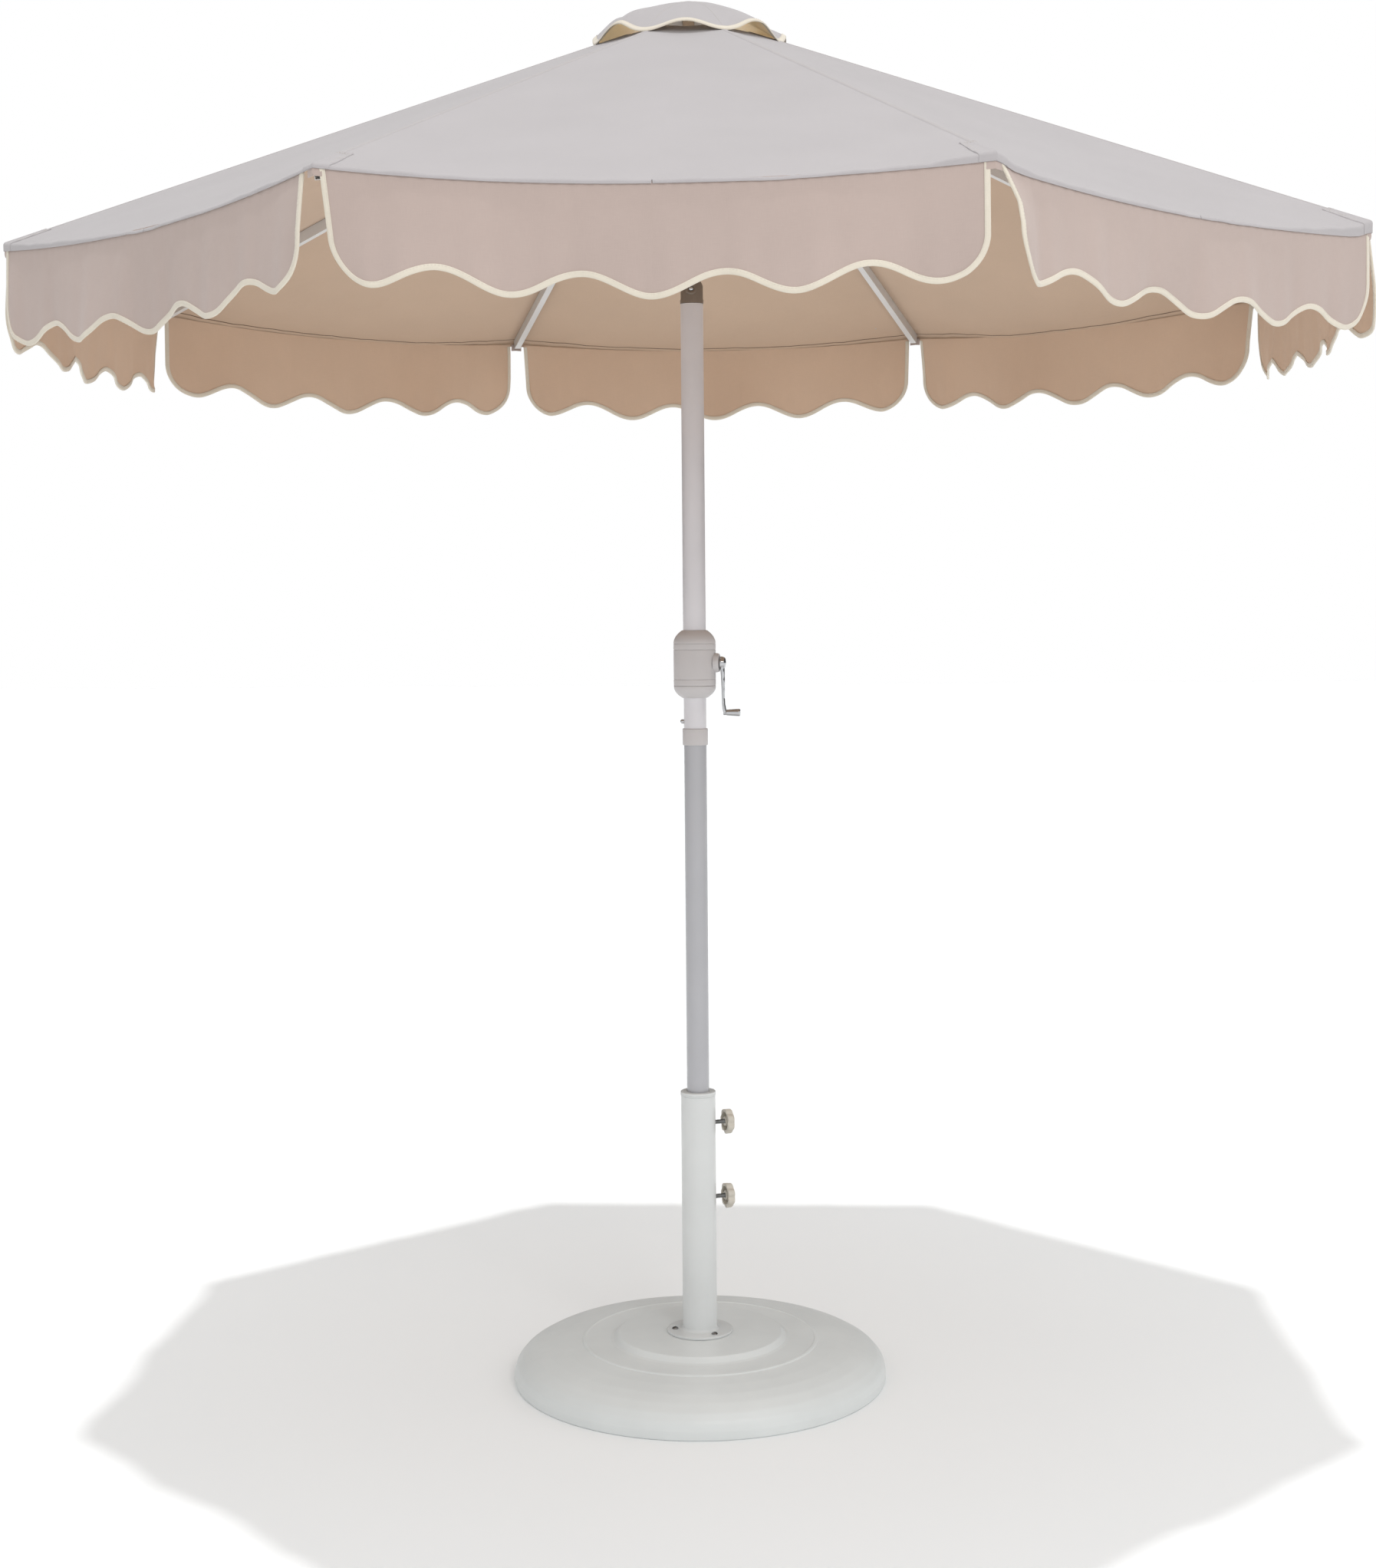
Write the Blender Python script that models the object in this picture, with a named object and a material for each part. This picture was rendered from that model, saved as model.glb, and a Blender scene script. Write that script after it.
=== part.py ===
"""Octagonal patio umbrella on a weighted base.

Metres, +Z up. The origin is on the floor at the centre of the base, and the pole stands on the Z axis.
The eight ribs lie at 22.5 degrees either side of the X and Y axes, so a straight edge of the canopy faces -Y.
The model shows the umbrella open and upright, which is the rest position of every joint.
"""

import math

import bmesh
import bpy
from mathutils import Matrix, Vector

# ---------------------------------------------------------------- driving dimensions
GAP = 0.0003  # clearance that touching pieces keep
ROUND = 24  # sides of a turned piece
ROUND_BASE = 32
ROUND_SMALL = 12

SIDES = 8
RIB_ANGLES = [math.radians(-67.5 + 45.0 * i) for i in range(SIDES)]

POLE_R = 0.0190
POLE_WALL = 0.0013
BORE_R = POLE_R - POLE_WALL

BASE_R = 0.3200
BASE_SHELL_WALL = 0.0040
BASE_DISC_R = 0.1445
BASE_TOP_Z = 0.0782
BALLAST_BOTTOM_Z = 0.0050

FLANGE_R = 0.0565
FLANGE_THICK = 0.0045
FLANGE_Z = BASE_TOP_Z + GAP
FLANGE_TOP_Z = FLANGE_Z + FLANGE_THICK
FLANGE_SCREW_R = 0.0430
FLANGE_SCREW_ANGLES = [math.radians(a) for a in (-172.0, -52.0, 68.0)]

TUBE_R = 0.0294
TUBE_WALL = 0.0020
TUBE_TOP_Z = 0.4920
TUBE_CAP_TOP_Z = 0.4990

KNOB_ANGLE = math.radians(21.7)
KNOB_HEIGHTS = {"lower": 0.3120, "upper": 0.4420}
KNOB_R = 0.0218
KNOB_LOBES = 7
KNOB_LOBE_DEPTH = 0.0030
KNOB_THICK = 0.0125
KNOB_NEAR = 0.0475  # tube-side face of the knob, from the pole's axis
STUD_R = 0.0038
STUD_HOLE_R = STUD_R + GAP

JOINT_Z = 1.0960  # where the lower pole ends and the crank section begins
NECK_R = BORE_R - GAP
NECK_TOP_Z = 1.1620
COLLAR_R = 0.0214
COLLAR_LOW_Z = 1.0930
COLLAR_HIGH_Z = 1.1210
SNAP_Z = 1.1330
SNAP_R = 0.0036

HOUSING_LOW_Z = 1.1730
HOUSING_HIGH_Z = 1.2870
HOUSING_R = 0.0355
HOUSING_BEND_R = 0.0160
HOUSING_END = 0.0200  # height of each rounded end
HOUSING_WALL = 0.0028
HOUSING_CAP_Z = 1.1935
CRANK_ANGLE = math.radians(-7.0)
CRANK_Z = 1.2320
CRANK_ARM = 0.0840
BOSS_R = 0.0160
BOSS_REACH = 0.0425
SHAFT_R = 0.0040
GRIP_PIN_R = 0.0022
SPOOL_CORE_R = 0.0114
SPOOL_FLANGE_R = 0.0132

TILT_Z = 1.8530
TILT_R = 0.0195
TILT_LOW_Z = 1.8300
TILT_SLOT = 0.0140
TONGUE_R = 0.0150

HUB_Z = 2.2770  # height of the rib pivots
PIVOT_R = 0.0340  # radius of the rib pivots, and of the strut pivots at the runner
RIB_TIP_R = 1.0895
RIB_TIP_Z = 1.8741
RIB_WIDE = 0.0120
RIB_DEEP = 0.0180
RIB_WALL = 0.0012
RIB_SLOPE = math.atan2(HUB_Z - RIB_TIP_Z, RIB_TIP_R - PIVOT_R)
RIB_LENGTH = math.hypot(HUB_Z - RIB_TIP_Z, RIB_TIP_R - PIVOT_R)

STRUT_AT = 0.4700  # distance of the strut's pivot along the rib
STRUT_DROP = 0.0160  # and its distance below the rib's axis
STRUT_LENGTH = math.hypot(STRUT_AT, STRUT_DROP)
STRUT_SLOPE = RIB_SLOPE + math.atan2(STRUT_DROP, STRUT_AT)
STRUT_WIDE = 0.0084
STRUT_DEEP = 0.0100
# Hub pivot, rib bracket and runner pivot make an isosceles triangle:
# the runner's pivots lie straight below the hub's.
RUNNER_Z = HUB_Z - 2.0 * STRUT_LENGTH * math.sin(STRUT_SLOPE)
RUNNER_BORE_R = 0.0212

FABRIC = 0.0012
RIM_R = 1.1015
RIM_SAG = 0.0264  # how far the rim hangs below the rib tips half-way between them
CANOPY_HOLE_R = 0.1100
RIB_TO_FABRIC = 0.0108  # from the rib's axis to the underside of the fabric, square to the rib
SEAM_HALF_GAP = 0.0004

VALANCE_THICK = 0.0012
VALANCE_HEM = 0.0140
VALANCE_LOW = 0.1400
VALANCE_SCALLOP = 0.0280
VALANCE_SLIT = 0.0135
LOBE_PITCH = 0.1780
CORNER_R = 0.0550

CAP_R = 0.1630
CAP_TOP_Z = 2.3210
CAP_ARCH = 0.0130


# ---------------------------------------------------------------- small helpers
def clear_scene():
    for old in list(bpy.data.objects):
        bpy.data.objects.remove(old, do_unlink=True)


def material(name, color, roughness, metallic=0.0):
    made = bpy.data.materials.new(name)
    made.use_nodes = True
    shader = made.node_tree.nodes["Principled BSDF"]
    shader.inputs["Base Color"].default_value = (*color, 1.0)
    shader.inputs["Roughness"].default_value = roughness
    shader.inputs["Metallic"].default_value = metallic
    return made


def turned(angle, origin=(0.0, 0.0, 0.0), slope=0.0):
    """A frame with X outwards at this angle about Z and dropped by slope, Y along the tangent."""
    return (
        Matrix.Translation(origin)
        @ Matrix.Rotation(angle, 4, "Z")
        @ Matrix.Rotation(slope, 4, "Y")
    )


def radial(angle, radius, z):
    return Vector((radius * math.cos(angle), radius * math.sin(angle), z))


def link(name, mesh, finish, matrix=Matrix.Identity(4), helper=False):
    obj = bpy.data.objects.new(name, mesh)
    bpy.context.scene.collection.objects.link(obj)
    obj.matrix_world = matrix
    if helper:
        obj.hide_render = True
        obj.display_type = "WIRE"
    else:
        mesh.materials.clear()
        mesh.materials.append(finish)
        mesh.shade_smooth()
        mesh.set_sharp_from_angle(angle=math.radians(35))
    return obj


def mesh_from(name, build):
    """A mesh made by build(bmesh), with its normals facing out."""
    work = bmesh.new()
    build(work)
    bmesh.ops.remove_doubles(work, verts=work.verts, dist=1e-6)
    bmesh.ops.recalc_face_normals(work, faces=work.faces)
    mesh = bpy.data.meshes.new(name)
    work.to_mesh(mesh)
    work.free()
    return mesh


def add_lathe(work, profile, segments=ROUND, matrix=Matrix.Identity(4)):
    """Turns a closed profile of (radius, height) points about Z. A point at radius 0 becomes one vertex."""
    rings = []
    for radius, height in profile:
        if radius < 1e-7:
            rings.append([work.verts.new(matrix @ Vector((0.0, 0.0, height)))])
            continue
        turn = [2.0 * math.pi * i / segments for i in range(segments)]
        rings.append(
            [
                work.verts.new(
                    matrix @ Vector((radius * math.cos(a), radius * math.sin(a), height))
                )
                for a in turn
            ]
        )
    for low, high in zip(rings, rings[1:] + rings[:1]):
        if len(low) == 1 and len(high) == 1:
            continue
        for i in range(segments):
            j = (i + 1) % segments
            corners = [low[i % len(low)], low[j % len(low)], high[j % len(high)], high[i % len(high)]]
            unique = list(dict.fromkeys(corners))
            if len(unique) > 2:
                work.faces.new(unique)


def add_prism(work, outline, low, high, matrix=Matrix.Identity(4)):
    """Extrudes an outline of (x, z) points along Y, from low to high."""
    near = [work.verts.new(matrix @ Vector((x, low, z))) for x, z in outline]
    far = [work.verts.new(matrix @ Vector((x, high, z))) for x, z in outline]
    work.faces.new(near)
    work.faces.new(far[::-1])
    for i in range(len(outline)):
        j = (i + 1) % len(outline)
        work.faces.new((near[i], near[j], far[j], far[i]))


def add_box(work, low, high, matrix=Matrix.Identity(4)):
    outline = [(low[0], low[2]), (high[0], low[2]), (high[0], high[2]), (low[0], high[2])]
    add_prism(work, outline, low[1], high[1], matrix)


def add_rod(work, radius, start, end, segments=ROUND_SMALL):
    """A plain cylinder between two points."""
    along = Vector(end) - Vector(start)
    turn = Vector((0.0, 0.0, 1.0)).rotation_difference(along).to_matrix().to_4x4()
    matrix = Matrix.Translation(start) @ turn
    add_lathe(work, [(0, 0), (radius, 0), (radius, along.length), (0, along.length)], segments, matrix)


def arc(centre, radius, start, end, steps):
    """Points on an arc in the plane, with its angles in degrees."""
    angles = [math.radians(start + (end - start) * i / steps) for i in range(steps + 1)]
    return [(centre[0] + radius * math.cos(a), centre[1] + radius * math.sin(a)) for a in angles]


def carve(obj, name, build, operation="DIFFERENCE"):
    """Cuts or joins a helper shape, built in the object's own frame."""
    helper = link(name, mesh_from(name, build), None, obj.matrix_world, helper=True)
    modifier = obj.modifiers.new(name, "BOOLEAN")
    modifier.operation = operation
    modifier.solver = "EXACT"
    modifier.object = helper
    return helper


def baked(name, build, steps):
    """One mesh with its cuts and joins applied, to be shared by repeated pieces."""
    base = link(name, mesh_from(name, build), None, helper=True)
    helpers = [carve(base, f"{name}_{i}", made, operation) for i, (made, operation) in enumerate(steps)]
    graph = bpy.context.evaluated_depsgraph_get()
    mesh = bpy.data.meshes.new_from_object(base.evaluated_get(graph))
    for helper in [base, *helpers]:
        bpy.data.objects.remove(helper, do_unlink=True)
    return mesh


def tube_profile(outer, inner, low, high):
    return [(outer, low), (outer, high), (inner, high), (inner, low)]


# ---------------------------------------------------------------- materials
def finishes():
    return {
        "base": material("base_white", (0.62, 0.65, 0.64), 0.45),
        "concrete": material("concrete", (0.45, 0.44, 0.42), 0.9),
        "tube": material("tube_white", (0.68, 0.70, 0.69), 0.4),
        "pole": material("pole_grey", (0.50, 0.48, 0.48), 0.35),
        "housing": material("housing_grey", (0.55, 0.51, 0.48), 0.45),
        "taupe": material("tilt_taupe", (0.26, 0.21, 0.16), 0.4),
        "knob": material("knob_beige", (0.58, 0.54, 0.47), 0.5),
        "steel": material("steel", (0.42, 0.42, 0.42), 0.35, 1.0),
        "chrome": material("chrome", (0.80, 0.80, 0.80), 0.08, 1.0),
        "frame": material("frame_grey", (0.60, 0.60, 0.59), 0.4),
        "black": material("hub_black", (0.05, 0.05, 0.05), 0.5),
        "fabric": material("fabric_beige", (0.62, 0.52, 0.44), 0.9),
    }


# ---------------------------------------------------------------- weighted base
def dome_outline():
    """The base's outer surface, from the raised centre disc down to the rim."""
    step = [
        (BASE_DISC_R - 0.0060, BASE_TOP_Z),
        (BASE_DISC_R, BASE_TOP_Z - 0.0016),
        (BASE_DISC_R + 0.0045, BASE_TOP_Z - 0.0085),
        (BASE_DISC_R + 0.0100, BASE_TOP_Z - 0.0100),
    ]
    ridge = [(0.1985, 0.0672), (0.2010, 0.0660)]
    dome = [(0.2350, 0.0622), (0.2650, 0.0560), (0.2880, 0.0480), (0.3050, 0.0375), (0.3150, 0.0260)]
    return step + ridge + dome + [(BASE_R, 0.0130), (BASE_R, 0.0050), (BASE_R - 0.0025, 0.0)]


def base_shell(finish):
    outer = dome_outline()
    inner = [(r - BASE_SHELL_WALL, z - BASE_SHELL_WALL) for r, z in outer[5:-3:2]]
    lip = [(BASE_R - 0.0065, 0.0), (BASE_R - 0.0055, 0.0050)]
    top = BASE_TOP_Z - BASE_SHELL_WALL
    below_disc = [(0.1400, top - 0.0040), (0.1340, top), (0.0, top)]
    profile = [(0.0, BASE_TOP_Z), *outer, *lip, *inner[::-1], *below_disc]
    mesh = mesh_from("base_shell", lambda work: add_lathe(work, profile, ROUND_BASE))
    shell = link("base_shell", mesh, finish["base"])

    def screw_holes(work):
        for angle in FLANGE_SCREW_ANGLES:
            low = radial(angle, FLANGE_SCREW_R, 0.05)
            add_rod(work, 0.0030, low, low + Vector((0, 0, 0.05)))

    carve(shell, "shell_screw_holes", screw_holes)


def base_ballast(finish):
    """A ring of concrete under the shell, thick at the rim and hollow below its middle."""
    clear = BASE_SHELL_WALL + 0.0008
    top = BASE_TOP_Z - clear
    profile = [
        (0.0, top),
        (0.1300, top),
        (0.1400, top - 0.0085),
        (0.1950, 0.0640 - clear),
        (0.2560, 0.0550 - clear),
        (0.2950, 0.0370 - clear),
        (0.3050, 0.0200),
        (0.3050, BALLAST_BOTTOM_Z),
        (0.2450, BALLAST_BOTTOM_Z),
        (0.2350, 0.0300),
        (0.0, 0.0300),
    ]
    mesh = mesh_from("base_ballast", lambda work: add_lathe(work, profile, ROUND_BASE))
    ballast = link("base_ballast", mesh, finish["concrete"])

    def screw_holes(work):
        for angle in FLANGE_SCREW_ANGLES:
            low = radial(angle, FLANGE_SCREW_R, 0.0500)
            add_rod(work, 0.0030, low, low + Vector((0, 0, 0.05)))

    carve(ballast, "ballast_screw_holes", screw_holes)


def base_tube(finish):
    """The standing tube, welded to its round flange."""
    inner = TUBE_R - TUBE_WALL
    profile = [
        (0.0, FLANGE_Z),
        (FLANGE_R - 0.0008, FLANGE_Z),
        (FLANGE_R, FLANGE_Z + 0.0010),
        (FLANGE_R, FLANGE_TOP_Z - 0.0012),
        (FLANGE_R - 0.0012, FLANGE_TOP_Z),
        (TUBE_R + 0.0015, FLANGE_TOP_Z),
        (TUBE_R, FLANGE_TOP_Z + 0.0015),
        (TUBE_R, TUBE_TOP_Z),
        (inner, TUBE_TOP_Z),
        (inner, FLANGE_TOP_Z),
        (0.0, FLANGE_TOP_Z),
    ]
    mesh = mesh_from("base_tube", lambda work: add_lathe(work, profile))
    tube = link("base_tube", mesh, finish["tube"])

    def holes(work):
        for angle in FLANGE_SCREW_ANGLES:
            low = radial(angle, FLANGE_SCREW_R, FLANGE_Z - 0.01)
            add_rod(work, 0.0032, low, low + Vector((0, 0, 0.02)))
        for height in KNOB_HEIGHTS.values():
            start = radial(KNOB_ANGLE, 0.015, height)
            add_rod(work, STUD_HOLE_R, start, radial(KNOB_ANGLE, 0.045, height))

    carve(tube, "tube_holes", holes)


def flange_screws(finish):
    """Three pan-head screws that hold the flange down on the base."""
    head_z = FLANGE_TOP_Z + GAP
    profile = [
        (0.0, 0.0520),
        (0.0022, 0.0530),
        (0.0027, 0.0560),
        (0.0027, head_z),
        (0.0052, head_z),
        (0.0052, head_z + 0.0008),
        (0.0036, head_z + 0.0024),
        (0.0, head_z + 0.0028),
    ]

    def slot(half_x, half_y):
        low = (-half_x, -half_y, head_z + 0.0014)
        high = (half_x, half_y, head_z + 0.0060)
        return lambda work: add_box(work, low, high)

    cross = [(slot(0.0030, 0.0006), "DIFFERENCE"), (slot(0.0006, 0.0030), "DIFFERENCE")]
    shape = baked("flange_screw", lambda work: add_lathe(work, profile, ROUND_SMALL), cross)
    for i, angle in enumerate(FLANGE_SCREW_ANGLES):
        place = Matrix.Translation(radial(angle, FLANGE_SCREW_R, 0))
        link(f"flange_screw_{i + 1}", shape, finish["steel"], place)


def tube_cap(finish):
    """The ring at the top of the tube that guides the pole."""
    inner = POLE_R + GAP
    profile = [
        (TUBE_R + 0.0008, TUBE_TOP_Z + GAP),
        (TUBE_R + 0.0008, TUBE_CAP_TOP_Z - 0.0012),
        (TUBE_R - 0.0004, TUBE_CAP_TOP_Z),
        (inner + 0.0005, TUBE_CAP_TOP_Z),
        (inner, TUBE_CAP_TOP_Z - 0.0006),
        (inner, TUBE_TOP_Z - 0.0250),
        (TUBE_R - TUBE_WALL - GAP, TUBE_TOP_Z - 0.0250),
        (TUBE_R - TUBE_WALL - GAP, TUBE_TOP_Z + GAP),
    ]
    link("tube_cap", mesh_from("tube_cap", lambda work: add_lathe(work, profile)), finish["tube"])


def lobed_outline(radius, lobes, depth, steps):
    """A star knob's outline, as distances from its axis at even angles."""
    turn = [2.0 * math.pi * i / steps for i in range(steps)]
    return [(a, radius - depth * (0.5 - 0.5 * math.cos(lobes * a))) for a in turn]


def clamp_screws(finish):
    """The threaded studs that clamp the pole, and the lobed knobs on their ends."""
    stud_end = KNOB_NEAR + 0.0095
    stud = [
        (0.0, POLE_R + GAP),
        (STUD_R - 0.0008, POLE_R + GAP),
        (STUD_R, POLE_R + GAP + 0.0008),
        (STUD_R, stud_end),
        (0.0, stud_end),
    ]
    along = Matrix.Rotation(math.radians(90), 4, "Y")  # turns Z to X, so that a lathe runs along X
    stud_mesh = mesh_from("clamp_stud", lambda work: add_lathe(work, stud, ROUND_SMALL, along))

    def knob_body(work):
        lobes = lobed_outline(KNOB_R, KNOB_LOBES, KNOB_LOBE_DEPTH, 4 * KNOB_LOBES)

        def ring_at(distance, scale):
            return [
                work.verts.new((distance, scale * r * math.cos(a), scale * r * math.sin(a))) for a, r in lobes
            ]

        near = ring_at(KNOB_NEAR, 1.0)
        rounded = ring_at(KNOB_NEAR + KNOB_THICK - 0.0025, 1.0)
        far = ring_at(KNOB_NEAR + KNOB_THICK, 0.88)
        work.faces.new(near)
        work.faces.new(far)
        for ring, other in ((near, rounded), (rounded, far)):
            for i in range(len(lobes)):
                j = (i + 1) % len(lobes)
                work.faces.new((ring[i], ring[j], other[j], other[i]))

    def socket(work):
        add_rod(work, STUD_HOLE_R, (KNOB_NEAR - 0.01, 0, 0), (stud_end + GAP, 0, 0))

    def pocket(work):
        ring = [
            (0.0082, KNOB_NEAR - 0.01),
            (0.0155, KNOB_NEAR - 0.01),
            (0.0155, KNOB_NEAR + 0.0085),
            (0.0082, KNOB_NEAR + 0.0085),
        ]
        add_lathe(work, ring, 16, along)

    knob_mesh = baked("clamp_knob", knob_body, [(socket, "DIFFERENCE"), (pocket, "DIFFERENCE")])
    for level, height in KNOB_HEIGHTS.items():
        place = turned(KNOB_ANGLE, (0.0, 0.0, height))
        link(f"clamp_stud_{level}", stud_mesh, finish["steel"], place)
        link(f"clamp_knob_{level}", knob_mesh, finish["knob"], place)


# ---------------------------------------------------------------- pole
def lower_pole(finish):
    """The lower pole, whose top is swaged down to a neck that fits inside the crank section."""
    bore = NECK_R - POLE_WALL
    low = FLANGE_TOP_Z + GAP
    profile = [
        (POLE_R, low),
        (POLE_R, JOINT_Z - GAP - 0.0015),
        (NECK_R, JOINT_Z - GAP),
        (NECK_R, NECK_TOP_Z),
        (bore, NECK_TOP_Z),
        (bore, JOINT_Z - 0.0040),
        (BORE_R, JOINT_Z - 0.0060),
        (BORE_R, low),
    ]
    pole = link("lower_pole", mesh_from("lower_pole", lambda work: add_lathe(work, profile)), finish["pole"])
    carve(
        pole,
        "lower_pole_snap_hole",
        lambda work: add_rod(work, SNAP_R + GAP, (-0.03, 0, SNAP_Z), (-0.010, 0, SNAP_Z)),
    )


def pole_collar(finish):
    """The plastic ring over the joint of the two poles."""
    inner = POLE_R + GAP
    profile = [
        (COLLAR_R - 0.0008, COLLAR_LOW_Z),
        (COLLAR_R, COLLAR_LOW_Z + 0.0008),
        (COLLAR_R, COLLAR_HIGH_Z - 0.0008),
        (COLLAR_R - 0.0008, COLLAR_HIGH_Z),
        (inner, COLLAR_HIGH_Z),
        (inner, COLLAR_LOW_Z),
    ]
    link("pole_collar", mesh_from("pole_collar", lambda work: add_lathe(work, profile)), finish["housing"])


def snap_button(finish):
    """The sprung pin that locks the two poles together."""
    along = Matrix.Translation((0, 0, SNAP_Z)) @ Matrix.Rotation(math.radians(-90), 4, "Y")
    profile = [
        (0.0, 0.0080),
        (SNAP_R, 0.0080),
        (SNAP_R, 0.0216),
        *arc((0.0, 0.0216), SNAP_R, 22.5, 67.5, 2),
        (0.0, 0.0216 + SNAP_R),
    ]
    mesh = mesh_from("snap_button", lambda work: add_lathe(work, profile, ROUND_SMALL, along))
    link("snap_button", mesh, finish["chrome"])


def crank_pole(finish):
    """The crank section of the pole, from the joint up to the tilt joint."""
    profile = tube_profile(POLE_R, BORE_R, JOINT_Z, TILT_LOW_Z - GAP)
    pole = link("crank_pole", mesh_from("crank_pole", lambda work: add_lathe(work, profile)), finish["pole"])

    def holes(work):
        add_rod(work, SNAP_R + GAP, (-0.03, 0, SNAP_Z), (-0.010, 0, SNAP_Z))
        start = radial(CRANK_ANGLE, -0.03, CRANK_Z)
        add_rod(work, SHAFT_R + GAP, start, radial(CRANK_ANGLE, 0.03, CRANK_Z))

    carve(pole, "crank_pole_holes", holes)


# ---------------------------------------------------------------- crank
def housing_outline():
    """The outside of the crank housing from top to bottom, a barrel with rounded ends."""
    shoulder = HOUSING_R - HOUSING_BEND_R
    bend = [(math.cos(math.radians(a)), math.sin(math.radians(a))) for a in (90, 64, 40, 18, 0)]
    high = [(shoulder + HOUSING_BEND_R * c, HOUSING_HIGH_Z - HOUSING_END * (1.0 - s)) for c, s in bend]
    low = [(shoulder + HOUSING_BEND_R * c, HOUSING_LOW_Z + HOUSING_END * (1.0 - s)) for c, s in bend[::-1]]
    return high, low


def housing(finish):
    """The crank housing: a shell with a side boss for the shaft, and its lower cap."""
    high, low = housing_outline()
    inner = POLE_R + GAP
    inside = HOUSING_R - HOUSING_WALL
    profile = [
        *high,
        (HOUSING_R, HOUSING_CAP_Z + GAP),
        (inside, HOUSING_CAP_Z + GAP),
        (inside, HOUSING_HIGH_Z - 0.0240),
        (HOUSING_R - 0.0110, HOUSING_HIGH_Z - 0.0080),
        (inner, HOUSING_HIGH_Z - 0.0060),
        (inner, HOUSING_HIGH_Z),
    ]
    mesh = mesh_from("housing_shell", lambda work: add_lathe(work, profile))
    shell = link("housing_shell", mesh, finish["housing"])

    def boss(work):
        sideways = turned(CRANK_ANGLE, (0, 0, CRANK_Z)) @ Matrix.Rotation(math.radians(90), 4, "Y")
        outline = [
            (0.0, 0.0335),
            (BOSS_R, 0.0335),
            (BOSS_R, BOSS_REACH - 0.0040),
            (BOSS_R - 0.0040, BOSS_REACH),
            (0.0, BOSS_REACH),
        ]
        add_lathe(work, outline, 16, sideways)

    def shaft_hole(work):
        start = radial(CRANK_ANGLE, 0.025, CRANK_Z)
        add_rod(work, SHAFT_R + GAP, start, radial(CRANK_ANGLE, 0.060, CRANK_Z))

    carve(shell, "housing_boss", boss, "UNION")
    carve(shell, "housing_shaft_hole", shaft_hole)

    cap = [
        (HOUSING_R, HOUSING_CAP_Z),
        *low,
        (inner, HOUSING_LOW_Z),
        (inner, HOUSING_LOW_Z + 0.0060),
        (HOUSING_R - 0.0110, HOUSING_LOW_Z + 0.0080),
        (inside - 0.0026, HOUSING_LOW_Z + 0.0180),
        (inside - 0.0026, HOUSING_CAP_Z + 0.0060),
        (inside - GAP, HOUSING_CAP_Z + 0.0060),
        (inside - GAP, HOUSING_CAP_Z),
    ]
    link("housing_cap", mesh_from("housing_cap", lambda work: add_lathe(work, cap)), finish["housing"])


def crank(finish):
    """The spool on its shaft, the arm on the shaft's end, and the grip that turns on the arm."""
    place = turned(CRANK_ANGLE, (0, 0, CRANK_Z))
    along = Matrix.Rotation(math.radians(90), 4, "Y")
    shaft_end = 0.0500
    spool = [
        (0.0, -0.0215),
        (SHAFT_R, -0.0215),
        (SHAFT_R, -0.0105),
        (SPOOL_FLANGE_R, -0.0105),
        (SPOOL_FLANGE_R, -0.0090),
        (SPOOL_CORE_R, -0.0090),
        (SPOOL_CORE_R, 0.0080),
        (SPOOL_FLANGE_R, 0.0080),
        (SPOOL_FLANGE_R, 0.0095),
        (SHAFT_R, 0.0095),
        (SHAFT_R, shaft_end),
        (0.0, shaft_end),
    ]
    spool_mesh = mesh_from("crank_spool", lambda work: add_lathe(work, spool, 16, along))
    link("crank_spool", spool_mesh, finish["steel"], place)

    hub_near = BOSS_REACH + GAP
    pin_at = -CRANK_ARM

    def arm_hub(work):
        outline = [
            (0.0, hub_near),
            (0.0100, hub_near),
            (0.0105, hub_near + 0.0030),
            (0.0085, 0.0535),
            (0.0, 0.0535),
        ]
        add_lathe(work, outline, 16, along)

    def blade(work):
        """The slim arm, which bows outwards, and the elbow at its end that holds the grip's pin."""
        outline = [
            (hub_near, -0.0040),
            (hub_near + 0.0002, -0.0500),
            (0.0464, pin_at - 0.0035),
            (0.0474, pin_at - 0.0050),
            (0.0520, pin_at - 0.0050),
            (0.0530, pin_at - 0.0035),
            (0.0530, pin_at + 0.0035),
            (0.0512, pin_at + 0.0060),
            (0.0500, -0.0500),
            (0.0510, -0.0040),
        ]
        add_prism(work, outline, -0.0045, 0.0045)

    def pin(work):
        add_rod(work, GRIP_PIN_R, (0.0500, 0, pin_at), (0.0700, 0, pin_at), 8)

    def shaft_socket(work):
        add_rod(work, SHAFT_R + GAP, (0.03, 0, 0), (shaft_end + GAP, 0, 0))

    arm = link("crank_arm", mesh_from("crank_arm", arm_hub), finish["chrome"], place)
    carve(arm, "crank_arm_blade", blade, "UNION")
    carve(arm, "crank_arm_pin", pin, "UNION")
    carve(arm, "crank_arm_socket", shaft_socket)

    grip_bore = GRIP_PIN_R + GAP
    grip_profile = [
        (grip_bore, 0.0535),
        (0.0046, 0.0535),
        (0.0054, 0.0560),
        (0.0063, 0.0750),
        (0.0055, 0.0772),
        (0.0, 0.0772),
        (0.0, 0.0712),
        (grip_bore, 0.0712),
    ]
    grip_mesh = mesh_from("crank_grip", lambda work: add_lathe(work, grip_profile, 16, along))
    link("crank_grip", grip_mesh, finish["chrome"], turned(CRANK_ANGLE, (0, 0, CRANK_Z - CRANK_ARM)))


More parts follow.
